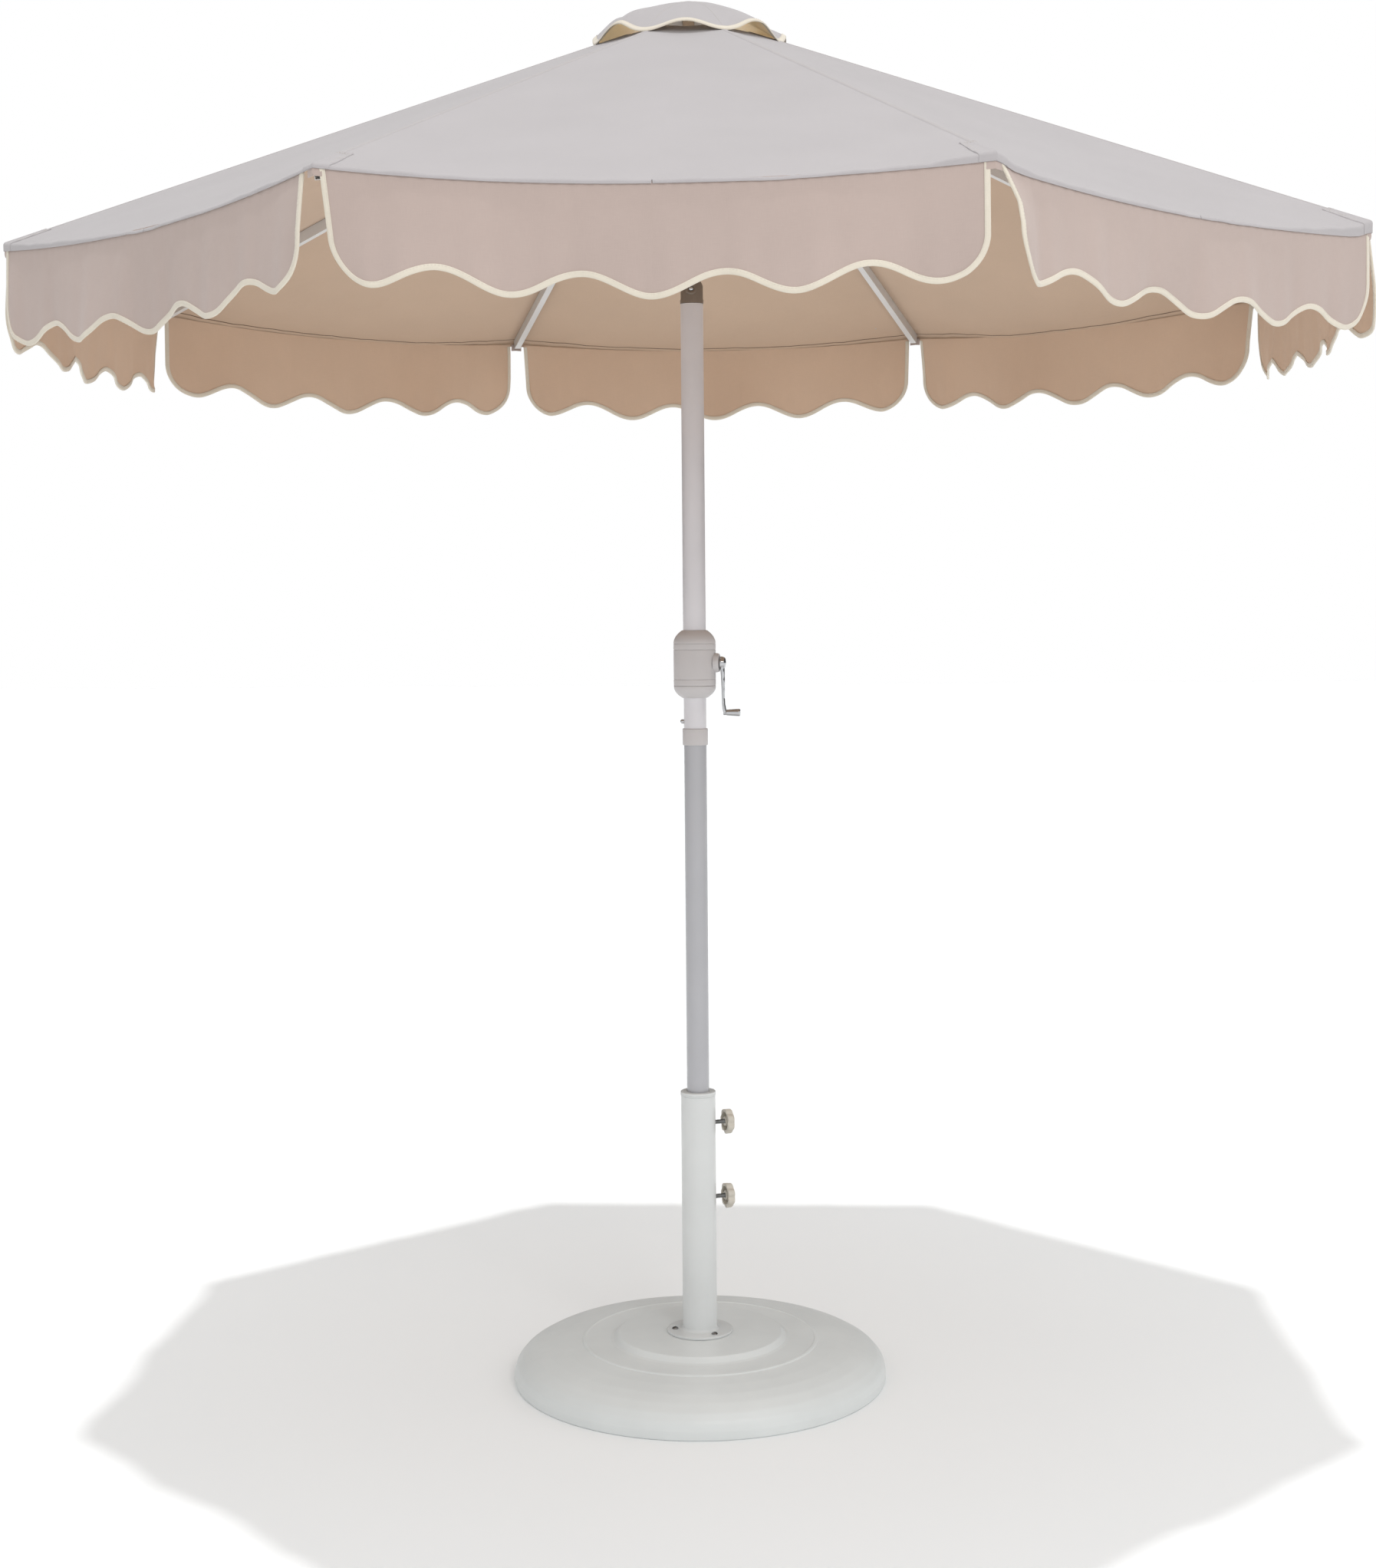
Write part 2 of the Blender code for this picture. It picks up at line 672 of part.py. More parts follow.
# ---------------------------------------------------------------- tilt joint
def tilt_joint(finish):
    """A forked sleeve on the crank section, the pivot pin across it, and the push button on the same axis."""
    ear_top = TILT_Z + TILT_R
    body = [
        (0.0, TILT_LOW_Z - 0.0300),
        (NECK_R, TILT_LOW_Z - 0.0300),
        (NECK_R, TILT_LOW_Z),
        (TILT_R, TILT_LOW_Z),
        (TILT_R, ear_top),
        (0.0, ear_top),
    ]
    mesh = mesh_from("tilt_sleeve", lambda work: add_lathe(work, body))
    sleeve = link("tilt_sleeve", mesh, finish["taupe"])

    def slot(work):
        low = TILT_Z - TONGUE_R - 0.0015
        add_box(work, (-0.05, -TILT_SLOT / 2, low), (0.05, TILT_SLOT / 2, TILT_Z + 0.05))

    def round_top(work):
        """What is left over an arch, so that the ears end in a half circle about the pivot."""
        arch = arc((0.0, TILT_Z), TILT_R, 180, 0, 12)
        outline = [*arch, (0.03, TILT_Z), (0.03, ear_top + 0.01), (-0.03, ear_top + 0.01), (-0.03, TILT_Z)]
        add_prism(work, outline, -0.05, 0.05)

    def pin_bore(work):
        add_rod(work, 0.0031, (0, -0.0140, TILT_Z), (0, 0.030, TILT_Z))

    def button_bore(work):
        add_rod(work, 0.0042, (0, -0.0300, TILT_Z), (0, -0.0121, TILT_Z))

    carve(sleeve, "tilt_slot", slot)
    carve(sleeve, "tilt_round_top", round_top)
    carve(sleeve, "tilt_pin_bore", pin_bore)
    carve(sleeve, "tilt_button_bore", button_bore)

    toward = Matrix.Translation((0, 0, TILT_Z)) @ Matrix.Rotation(math.radians(90), 4, "X")  # Z to -Y
    ends = ((0, 0.0194, TILT_Z), (0, -0.0119, TILT_Z))
    pin_mesh = mesh_from("tilt_pin", lambda work: add_rod(work, 0.0028, *ends))
    link("tilt_pin", pin_mesh, finish["steel"])
    button = [(0.0, 0.0136), (0.0037, 0.0136), (0.0037, 0.0192), (0.0026, 0.0203), (0.0, 0.0207)]
    button_mesh = mesh_from("tilt_button", lambda work: add_lathe(work, button, ROUND_SMALL, toward))
    link("tilt_button", button_mesh, finish["chrome"])


def upper_pole(finish):
    """The tilting pole, which ends below in a tongue that fits the fork."""
    low = TILT_Z + 0.0206
    profile = [
        (POLE_R, low),
        (POLE_R, HUB_Z + 0.0120),
        (BORE_R, HUB_Z + 0.0120),
        (BORE_R, low + 0.0300),
        (0.0, low + 0.0300),
        (0.0, low),
    ]
    place = Matrix.Translation((0, 0, TILT_Z))
    mesh = mesh_from("upper_pole", lambda work: add_lathe(work, profile, matrix=place.inverted()))
    pole = link("upper_pole", mesh, finish["pole"], place)

    def tongue(work):
        outline = [*arc((0.0, 0.0), TONGUE_R, 180, 360, 8), (TONGUE_R, 0.0250), (-TONGUE_R, 0.0250)]
        add_prism(work, outline, -TILT_SLOT / 2 + GAP, TILT_SLOT / 2 - GAP)

    carve(pole, "upper_pole_tongue", tongue, "UNION")
    carve(pole, "upper_pole_bore", lambda work: add_rod(work, 0.0031, (0, -0.05, 0), (0, 0.05, 0)))


# ---------------------------------------------------------------- hub and runner
def slots(count_angles, half_width, inner, outer, low, high):
    def build(work):
        for angle in count_angles:
            add_box(work, (inner, -half_width, low), (outer, half_width, high), turned(angle))

    return build


def hub(finish):
    """The crown that the ribs hinge in, with a pin across each slot, and the cap that carries the vent."""
    core = 0.0245
    bore = POLE_R + GAP
    profile = [
        (bore, -0.0270),
        (core, -0.0270),
        (core, -0.0145),
        (0.0390, -0.0125),
        (0.0410, -0.0105),
        (0.0410, 0.0165),
        (0.0380, 0.0190),
        (0.0, 0.0205),
        (0.0, 0.0135),
        (bore, 0.0125),
    ]
    place = Matrix.Translation((0, 0, HUB_Z))
    crown = link("hub", mesh_from("hub", lambda work: add_lathe(work, profile)), finish["black"], place)
    carve(crown, "hub_slots", slots(RIB_ANGLES, RIB_WIDE / 2 + 0.0005, core, 0.05, -0.02, 0.0115))

    def pins(work):
        for angle in RIB_ANGLES:
            tangent = Vector((-math.sin(angle), math.cos(angle), 0.0)) * (RIB_WIDE / 2 + 0.0015)
            middle = radial(angle, PIVOT_R, 0.0)
            add_rod(work, 0.0015, middle - tangent, middle + tangent, 8)

    carve(crown, "hub_pins", pins, "UNION")

    cap = [
        (0.0, 0.0208),
        (0.0290, 0.0208),
        (0.0300, 0.0225),
        (0.0275, 0.0290),
        (0.0200, 0.0350),
        (0.0100, 0.0380),
        (0.0, 0.0390),
    ]
    link("hub_cap", mesh_from("hub_cap", lambda work: add_lathe(work, cap, 16)), finish["black"], place)


def runner(finish):
    """The sliding ring that the struts' lower ends meet in open slots."""
    profile = [
        (RUNNER_BORE_R, -0.0250),
        (0.0250, -0.0250),
        (0.0258, -0.0240),
        (0.0258, -0.0115),
        (0.0375, -0.0095),
        (0.0390, -0.0080),
        (0.0390, 0.0080),
        (0.0375, 0.0095),
        (0.0258, 0.0115),
        (0.0258, 0.0200),
        (RUNNER_BORE_R, 0.0200),
    ]
    place = Matrix.Translation((0, 0, RUNNER_Z))
    ring = link("runner", mesh_from("runner", lambda work: add_lathe(work, profile)), finish["black"], place)
    carve(ring, "runner_slots", slots(RIB_ANGLES, STRUT_WIDE / 2 + 0.0006, 0.0262, 0.05, -0.02, 0.02))


# ---------------------------------------------------------------- ribs and struts
def rib_mesh():
    """A hollow rib along +X from its pivot, with a bracket and rivet below it for the strut."""
    half = RIB_DEEP / 2

    def body(work):
        outline = [*arc((0.0, 0.0), half, 90, 270, 6), (RIB_LENGTH, -half), (RIB_LENGTH, half)]
        add_prism(work, outline, -RIB_WIDE / 2, RIB_WIDE / 2)

    def hollow(work):
        side = RIB_WIDE / 2 - RIB_WALL
        add_box(work, (0.0140, -side, -half + RIB_WALL), (RIB_LENGTH + 0.01, side, half - RIB_WALL))

    def bracket(work):
        low = -STRUT_DROP
        lug = arc((STRUT_AT, low), 0.0060, 180, 360, 4)
        outline = [*lug, (STRUT_AT + 0.0100, 0.0020), (STRUT_AT - 0.0100, 0.0020)]
        for side in (-1, 1):
            edges = sorted((side * 0.0046, side * 0.0066))
            add_prism(work, outline, *edges)

    def rivet(work):
        add_rod(work, 0.0017, (STRUT_AT, -0.0060, -STRUT_DROP), (STRUT_AT, 0.0060, -STRUT_DROP), 8)

    def pivot_hole(work):
        add_rod(work, 0.0018, (0, -0.02, 0), (0, 0.02, 0), 8)

    steps = [
        (hollow, "DIFFERENCE"),
        (bracket, "UNION"),
        (rivet, "UNION"),
        (pivot_hole, "DIFFERENCE"),
    ]
    return baked("rib", body, steps)


def strut_mesh():
    """A channel along +X from the rib's bracket to the runner, open below, with a pin hole at each end."""
    half = STRUT_DEEP / 2

    def body(work):
        outline = [
            *arc((0.0, 0.0), half, 90, 270, 4),
            *arc((STRUT_LENGTH, 0.0), half, 270, 450, 4),
        ]
        add_prism(work, outline, -STRUT_WIDE / 2, STRUT_WIDE / 2)

    def channel(work):
        side = STRUT_WIDE / 2 - RIB_WALL
        add_box(work, (0.0120, -side, -half + RIB_WALL), (STRUT_LENGTH - 0.0120, side, half + 0.01))

    def holes(work):
        for at in (0.0, STRUT_LENGTH):
            add_rod(work, 0.0020, (at, -0.02, 0), (at, 0.02, 0), 8)

    return baked("strut", body, [(channel, "DIFFERENCE"), (holes, "DIFFERENCE")])


def ribs_and_struts(finish):
    rib = rib_mesh()
    strut = strut_mesh()
    for i, angle in enumerate(RIB_ANGLES):
        place = turned(angle, radial(angle, PIVOT_R, HUB_Z), RIB_SLOPE)
        link(f"rib_{i + 1}", rib, finish["frame"], place)
        bracket = place @ Vector((STRUT_AT, 0.0, -STRUT_DROP))
        link(f"strut_{i + 1}", strut, finish["frame"], turned(angle, bracket, math.pi - STRUT_SLOPE))


# ---------------------------------------------------------------- canopy
HALF = math.pi / SIDES


def fabric_height(radius, offset):
    """Height of the fabric's underside at this radius, offset radians from the nearest rib."""
    along = radius * math.cos(HALF - abs(offset)) / math.cos(HALF)  # the rib's radius on the same edge
    tight = HUB_Z + RIB_TO_FABRIC / math.cos(RIB_SLOPE) - math.tan(RIB_SLOPE) * (along - PIVOT_R)
    from_middle = math.tan(HALF - abs(offset)) / math.tan(HALF)
    return tight - RIM_SAG * (along / RIM_R) ** 2 * (1.0 - from_middle**2)


def edge_radius(tip_radius, offset):
    """Distance from the axis to the straight edge between two ribs, offset radians from the nearer one."""
    return tip_radius * math.cos(HALF) / math.cos(HALF - abs(offset))


def add_sheet(work, grid, thick):
    """A closed slab over a grid of points, thickened upwards."""
    lift = Vector((0.0, 0.0, thick))
    low = [[work.verts.new(p) for p in row] for row in grid]
    high = [[work.verts.new(Vector(p) + lift) for p in row] for row in grid]
    rows, cols = len(grid), len(grid[0])
    for r in range(rows - 1):
        for c in range(cols - 1):
            work.faces.new((low[r][c], low[r][c + 1], low[r + 1][c + 1], low[r + 1][c]))
            work.faces.new((high[r][c], high[r + 1][c], high[r + 1][c + 1], high[r][c + 1]))
    edge = [(0, c) for c in range(cols)] + [(r, cols - 1) for r in range(1, rows)]
    edge += [(rows - 1, c) for c in range(cols - 2, -1, -1)] + [(r, 0) for r in range(rows - 2, 0, -1)]
    for (r0, c0), (r1, c1) in zip(edge, edge[1:] + edge[:1]):
        work.faces.new((low[r0][c0], low[r1][c1], high[r1][c1], high[r0][c0]))


def gore_mesh():
    """One rib's share of the canopy, from mid-panel to mid-panel, in the rib's frame."""
    widest = HALF - 0.0001
    offsets = [-widest, -0.55 * HALF, -0.15 * HALF, 0.0, 0.15 * HALF, 0.55 * HALF, widest]
    shares = [0.0, 0.33, 0.66, 1.0]

    def build(work):
        grid = []
        for share in shares:
            row = []
            for offset in offsets:
                outer = edge_radius(RIM_R, offset)
                inner = edge_radius(CANOPY_HOLE_R, offset)
                radius = inner + share * (outer - inner)
                side = radius * math.sin(offset)
                if abs(offset) == widest:
                    side -= math.copysign(SEAM_HALF_GAP, offset)
                row.append((radius * math.cos(offset), side, fabric_height(radius, offset)))
            grid.append(row)
        add_sheet(work, grid, FABRIC)

    return mesh_from("canopy_gore", build)


def flap_drop(distance):
    """How far a flap hangs below the rim, at this distance along the rim from the middle of a panel."""
    lobe = VALANCE_LOW - VALANCE_SCALLOP * (0.5 - 0.5 * math.cos(2.0 * math.pi * distance / LOBE_PITCH))
    half_flap = RIM_R * math.sin(HALF) - VALANCE_SLIT
    to_side = half_flap - distance
    if to_side < CORNER_R:
        lobe = min(lobe, VALANCE_LOW - CORNER_R + math.sqrt(CORNER_R**2 - (CORNER_R - to_side) ** 2))
    return lobe


def valance_mesh():
    """The flaps either side of one rib's tip: half of each panel's flap, joined by the hem across the tip."""
    outer_half = RIM_R * math.sin(HALF)
    inset = 0.0006
    steps = 9

    def station(distance, side):
        """Rim point at this distance from the tip along the edge, on the side given by -1 or 1."""
        edge = Vector((-math.sin(HALF), side * math.cos(HALF), 0.0))
        tip = Vector((RIM_R - inset, 0.0, 0.0))
        at = tip + edge * distance
        share = distance / outer_half
        height = fabric_height(RIM_R, 0.0) - RIM_SAG * (1.0 - (1.0 - share) ** 2) - 0.0012
        return Vector((at.x, at.y, height))

    inward = {
        side: Vector((-math.cos(HALF), -side * math.sin(HALF), 0.0)) * VALANCE_THICK for side in (-1, 1)
    }
    miter = Vector((-VALANCE_THICK / math.cos(HALF), 0.0, 0.0))

    def build(work):
        flap = outer_half - SEAM_HALF_GAP - VALANCE_SLIT
        distances = [VALANCE_SLIT + flap * i / steps for i in range(steps + 1)]
        columns = []
        for side in (-1, 1):
            ordered = distances[::-1] if side < 0 else distances
            for distance in ordered:
                top = station(distance, side)
                drop = flap_drop(outer_half - distance)
                columns.append((top, inward[side], drop, side))
        middle = len(columns) // 2
        columns.insert(middle, (station(0.0, 1), miter, None, 0))
        outer_face = []
        for top, depth, drop, side in columns:
            levels = [top, top - Vector((0, 0, VALANCE_HEM))]
            if drop is not None:
                levels.append(top - Vector((0, 0, drop)))
            outer_face.append([(work.verts.new(p), work.verts.new(p + depth)) for p in levels])
        for left, right in zip(outer_face, outer_face[1:]):
            both = min(len(left), len(right))
            for level in range(both - 1):
                upper = (left[level], right[level])
                lower = (left[level + 1], right[level + 1])
                for face in (0, 1):
                    work.faces.new((upper[0][face], upper[1][face], lower[1][face], lower[0][face]))
            last = both - 1
            work.faces.new((left[0][0], left[0][1], right[0][1], right[0][0]))
            work.faces.new((left[last][0], right[last][0], right[last][1], left[last][1]))
        for column in (outer_face[0], outer_face[-1]):
            for upper, lower in zip(column, column[1:]):
                work.faces.new((upper[0], lower[0], lower[1], upper[1]))
        for column in (outer_face[middle - 1], outer_face[middle + 1]):
            work.faces.new((column[1][0], column[2][0], column[2][1], column[1][1]))

    return mesh_from("valance", build)


def vent_cap(finish):
    """The small top canopy: it touches the main fabric at the ribs and arches open between them."""
    per_side = 4
    shares = [0.15, 0.4, 0.7, 1.0]

    def height(share, offset):
        rim = fabric_height(CAP_R, 0.0) + FABRIC + 0.0008
        arch = CAP_ARCH * (0.5 - 0.5 * math.cos(math.pi * abs(offset) / HALF))
        crown = CAP_TOP_Z - FABRIC
        dome = 1.0 - (0.55 * share + 0.45 * share**2)
        return rim + (crown - rim) * dome + arch * share**2

    def build(work):
        grid = []
        for share in shares:
            row = []
            for i in range(SIDES * per_side):
                angle = RIB_ANGLES[0] + 2.0 * math.pi * i / (SIDES * per_side)
                offset = (angle - RIB_ANGLES[0] + HALF) % (2 * HALF) - HALF
                radius = share * CAP_R * (1.0 - 0.06 * (abs(offset) / HALF) * share)
                row.append((radius * math.cos(angle), radius * math.sin(angle), height(share, offset)))
            grid.append(row)
        count = SIDES * per_side
        top_low = work.verts.new((0, 0, height(0.0, 0.0)))
        top_high = work.verts.new((0, 0, height(0.0, 0.0) + FABRIC))
        low = [[work.verts.new(p) for p in row] for row in grid]
        high = [[work.verts.new(Vector(p) + Vector((0, 0, FABRIC))) for p in row] for row in grid]
        for i in range(count):
            j = (i + 1) % count
            work.faces.new((top_low, low[0][i], low[0][j]))
            work.faces.new((top_high, high[0][i], high[0][j]))
            for r in range(len(grid) - 1):
                work.faces.new((low[r][i], low[r][j], low[r + 1][j], low[r + 1][i]))
                work.faces.new((high[r][i], high[r][j], high[r + 1][j], high[r + 1][i]))
            work.faces.new((low[-1][i], low[-1][j], high[-1][j], high[-1][i]))

    link("vent_cap", mesh_from("vent_cap", build), finish["fabric"])


def canopy(finish):
    gore = gore_mesh()
    flap = valance_mesh()
    for i, angle in enumerate(RIB_ANGLES):
        link(f"canopy_gore_{i + 1}", gore, finish["fabric"], turned(angle))
        link(f"valance_{i + 1}", flap, finish["fabric"], turned(angle))
    vent_cap(finish)


def main():
    clear_scene()
    finish = finishes()
    base_shell(finish)
    base_ballast(finish)
    base_tube(finish)
    flange_screws(finish)
    tube_cap(finish)
    clamp_screws(finish)
    lower_pole(finish)
    pole_collar(finish)
    snap_button(finish)
    crank_pole(finish)
    housing(finish)
    crank(finish)
    tilt_joint(finish)
    upper_pole(finish)
    hub(finish)
    runner(finish)
    ribs_and_struts(finish)
    canopy(finish)


main()
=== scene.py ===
"""Looks of the octagonal patio umbrella: fine surfaces, fabric, materials, light and camera."""

import math

import bmesh
import bpy
import numpy as np
from mathutils import Matrix, Vector, noise


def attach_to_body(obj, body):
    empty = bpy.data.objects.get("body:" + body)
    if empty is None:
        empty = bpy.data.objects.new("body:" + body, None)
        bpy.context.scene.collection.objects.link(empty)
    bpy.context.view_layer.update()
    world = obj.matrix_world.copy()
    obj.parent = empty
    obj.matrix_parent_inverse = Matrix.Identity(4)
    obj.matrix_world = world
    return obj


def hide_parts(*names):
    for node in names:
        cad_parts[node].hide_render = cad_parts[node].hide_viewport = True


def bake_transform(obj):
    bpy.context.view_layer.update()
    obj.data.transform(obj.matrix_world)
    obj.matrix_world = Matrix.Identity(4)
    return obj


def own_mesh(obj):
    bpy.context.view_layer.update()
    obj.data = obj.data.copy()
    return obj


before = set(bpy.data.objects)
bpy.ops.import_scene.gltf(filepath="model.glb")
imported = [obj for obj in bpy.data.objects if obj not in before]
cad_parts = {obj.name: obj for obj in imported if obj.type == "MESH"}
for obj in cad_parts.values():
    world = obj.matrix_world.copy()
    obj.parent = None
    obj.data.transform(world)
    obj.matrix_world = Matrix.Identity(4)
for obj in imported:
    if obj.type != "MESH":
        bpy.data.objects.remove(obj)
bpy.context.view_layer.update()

# ------------ dimensions of the CAD part
SIDES = 8
HALF = math.pi / SIDES
RIB_ANGLES = [math.radians(-67.5 + 45.0 * i) for i in range(SIDES)]
POLE_R = 0.019
BORE_R = 0.0177
BASE_R = 0.32
BASE_DISC_R = 0.1445
BASE_TOP_Z = 0.0782
FLANGE_TOP_Z = 0.083
SCREW_R = 0.043
SCREW_ANGLES = [math.radians(a) for a in (-172.0, -52.0, 68.0)]
TUBE_R = 0.0294
TUBE_TOP_Z = 0.492
CAP_RING_TOP_Z = 0.499
KNOB_ANGLE = math.radians(21.7)
KNOB_HEIGHTS = {"lower": 0.312, "upper": 0.442}
KNOB_NEAR = 0.0475
LOBES_FROM = 0.0158
JOINT_Z = 1.096
COLLAR = (1.093, 1.121)
SNAP_Z = 1.133
HOUSING = (1.173, 1.287)
HOUSING_SPLIT = 1.1935
HOUSING_R = 0.0355
CRANK_ANGLE = math.radians(-7.0)
CRANK_Z = 1.232
CRANK_ARM = 0.084
SHAFT_HOLE_R = 0.0043
TILT_Z = 1.853
TILT_LOW_Z = 1.83
TILT_R = 0.0195
PIN_HOLE_R = 0.0031
HUB_Z = 2.277
PIVOT_R = 0.034
RIB_SLOPE = math.atan2(HUB_Z - 1.8741, 1.0895 - PIVOT_R)
RIM_R = 1.1015
RIM_SAG = 0.0264
HOLE_R = 0.11
CLOTH = 0.0012
SEAM_Z = 1.8723
SEAM_SAG = 0.02
HALF_RIM = RIM_R * math.sin(HALF)
DROOPS = (0.0, 0.006, 0.003, 0.0, 0.001, 0.0, 0.001, -0.006)  # of the seam at each rib
SINKS = {0: 0.007}  # how much lower a panel's seam hangs, with a shorter flap below it
VALANCE_LOW = 0.14
SCALLOP = 0.028
LOBE_PITCH = 0.178
SLIT = 0.011
CORNER_R = 0.055
CAP_R = 0.163
CAP_TOP_Z = 2.32
CAP_ARCH = 0.013

UP = Vector((0.0, 0.0, 1.0))
Z_TO_X = Matrix(((0, 0, 1, 0), (1, 0, 0, 0), (0, 1, 0, 0), (0, 0, 0, 1)))


# ------------ mesh helpers
def placed(name, data):
    obj = bpy.data.objects.new(name, data)
    bpy.context.scene.collection.objects.link(obj)
    return obj


def piece(name, verts, faces, materials, slots=None, uvs=None, sharp=35.0, weld=0.0):
    """A smooth-shaded object from points and faces, with a material index and UV pairs where given."""
    mesh = bpy.data.meshes.new(name)
    mesh.from_pydata([tuple(v) for v in verts], [], faces)
    for made in materials:
        mesh.materials.append(made)
    if slots is not None:
        mesh.polygons.foreach_set("material_index", slots)
    if uvs is not None:
        layer = mesh.uv_layers.new(name="UVMap")
        loops = np.zeros(len(mesh.loops), np.int32)
        mesh.loops.foreach_get("vertex_index", loops)
        layer.data.foreach_set("uv", np.asarray(uvs, np.float32)[loops].ravel())
    work = bmesh.new()
    work.from_mesh(mesh)
    if weld:
        bmesh.ops.remove_doubles(work, verts=work.verts, dist=weld)
        bmesh.ops.dissolve_degenerate(work, edges=work.edges, dist=weld)
    bmesh.ops.recalc_face_normals(work, faces=work.faces)
    work.to_mesh(mesh)
    work.free()
    mesh.shade_smooth()
    if sharp is not None:
        mesh.set_sharp_from_angle(angle=math.radians(sharp))
    return placed(name, mesh)


def filleted(outline, steps=5):
    """A closed outline of (x, y) or (x, y, corner radius), with its corners rounded."""
    points = []
    count = len(outline)
    for i in range(count):
        here = Vector(outline[i][:2])
        radius = outline[i][2] if len(outline[i]) > 2 else 0.0
        back = Vector(outline[i - 1][:2]) - here
        ahead = Vector(outline[(i + 1) % count][:2]) - here
        if radius <= 0.0:
            points.append(here)
            continue
        half = back.angle(ahead) / 2
        reach = min(radius / math.tan(half), 0.49 * back.length, 0.49 * ahead.length)
        radius = reach * math.tan(half)
        centre = here + (back.normalized() + ahead.normalized()).normalized() * (radius / math.sin(half))
        start = here + back.normalized() * reach - centre
        end = here + ahead.normalized() * reach - centre
        turn = math.atan2(start.x * end.y - start.y * end.x, start.dot(end))
        for step in range(steps + 1):
            points.append(centre + Matrix.Rotation(turn * step / steps, 2) @ start)
    return [(p[0], p[1]) for p in points]


def lathe_data(outline, segments, matrix=Matrix.Identity(4), lobed=None):
    """Points and faces of a closed (radius, height) outline turned about Z, with lobes where given."""
    verts = []
    rings = []
    for radius, height in outline:
        if radius < 1e-6:
            rings.append([len(verts)] * segments)
            verts.append(matrix @ Vector((0.0, 0.0, height)))
            continue
        rings.append(list(range(len(verts), len(verts) + segments)))
        for i in range(segments):
            a = 2.0 * math.pi * i / segments
            r = lobed(radius, a) if lobed else radius
            verts.append(matrix @ Vector((r * math.cos(a), r * math.sin(a), height)))
    faces = []
    for low, high in zip(rings, rings[1:] + rings[:1]):
        for i in range(segments):
            j = (i + 1) % segments
            corners = list(dict.fromkeys([low[i], low[j], high[j], high[i]]))
            if len(corners) > 2:
                faces.append(corners)
    return verts, faces


def lathe(name, outline, made, segments=96, matrix=Matrix.Identity(4), sharp=35.0):
    verts, faces = lathe_data(filleted(outline), segments, matrix)
    return piece(name, verts, faces, [made], sharp=sharp)


def grid_faces(rows, cols, offset=0, flip=False):
    faces = []
    for r in range(rows - 1):
        for c in range(cols - 1):
            a = offset + r * cols + c
            quad = [a, a + 1, a + cols + 1, a + cols]
            faces.append(quad[::-1] if flip else quad)
    return faces


def slab(outer, inner):
    """One closed body between two grids of points, shape (rows, columns, 3): points, faces and their side."""
    rows, cols = outer.shape[:2]
    count = rows * cols
    verts = np.concatenate([outer.reshape(-1, 3), inner.reshape(-1, 3)])
    top = grid_faces(rows, cols)
    low = grid_faces(rows, cols, count, flip=True)
    ring = [(0, c) for c in range(cols)] + [(r, cols - 1) for r in range(1, rows)]
    ring += [(rows - 1, c) for c in range(cols - 2, -1, -1)] + [(r, 0) for r in range(rows - 2, 0, -1)]
    at = [r * cols + c for r, c in ring]
    edge = [[a, a + count, b + count, b] for a, b in zip(at, at[1:] + at[:1])]
    sides = [0] * len(top) + [1] * len(low) + [2] * len(edge)
    return verts, top + low + edge, sides


def as_grid(rows):
    return np.array([[tuple(p) for p in row] for row in rows])


def tube_faces(rings, around, closed=False):
    """Faces between rings of points, whose first and last rings are filled in or joined to each other."""
    faces = []
    for r in range(rings if closed else rings - 1):
        low, high = r * around, (r + 1) % rings * around
        for i in range(around):
            j = (i + 1) % around
            faces.append([low + i, low + j, high + j, high + i])
    if not closed:
        faces += [list(range(around)), list(range((rings - 1) * around, rings * around))]
    return faces


def sweep(name, path, sizes, made, sides, matrix):
    """A rounded bar along a path in the XZ plane, with half sizes (in the plane, along Y) at each point."""
    verts = []
    for i, (x, z) in enumerate(path):
        ahead = Vector(path[min(i + 1, len(path) - 1)]) - Vector(path[max(i - 1, 0)])
        along = ahead.normalized()
        across = Vector((along.y, -along.x))
        for k in range(sides):
            a = 2.0 * math.pi * k / sides
            c = math.copysign(abs(math.cos(a)) ** 0.7, math.cos(a))
            s = math.copysign(abs(math.sin(a)) ** 0.7, math.sin(a))
            flat = Vector((x, z)) + across * (sizes[i][0] * c)
            verts.append(matrix @ Vector((flat.x, sizes[i][1] * s, flat.y)))
    return piece(name, verts, tube_faces(len(path), sides), [made], sharp=50.0)


def carve(obj, joins=(), cuts=()):
    """Joins solids to an object, then cuts others out of it."""
    for operation, others in (("UNION", joins), ("DIFFERENCE", cuts)):
        for other in others:
            modifier = obj.modifiers.new(operation, "BOOLEAN")
            modifier.operation = operation
            modifier.solver = "EXACT"
            modifier.object = other
    graph = bpy.context.evaluated_depsgraph_get()
    mesh = bpy.data.meshes.new_from_object(obj.evaluated_get(graph))
    obj.modifiers.clear()
    obj.data = mesh
    for other in (*joins, *cuts):
        bpy.data.objects.remove(other)
    mesh.shade_smooth()
    mesh.set_sharp_from_angle(angle=math.radians(35))


def block(low, high, matrix=Matrix.Identity(4)):
    corners = [(x, y, z) for z in (low[2], high[2]) for y in (low[1], high[1]) for x in (low[0], high[0])]
    verts = [matrix @ Vector(c) for c in corners]
    faces = [[0, 2, 3, 1], [4, 5, 7, 6], [0, 1, 5, 4], [2, 6, 7, 3], [0, 4, 6, 2], [1, 3, 7, 5]]
    return piece("cutter", verts, faces, [])


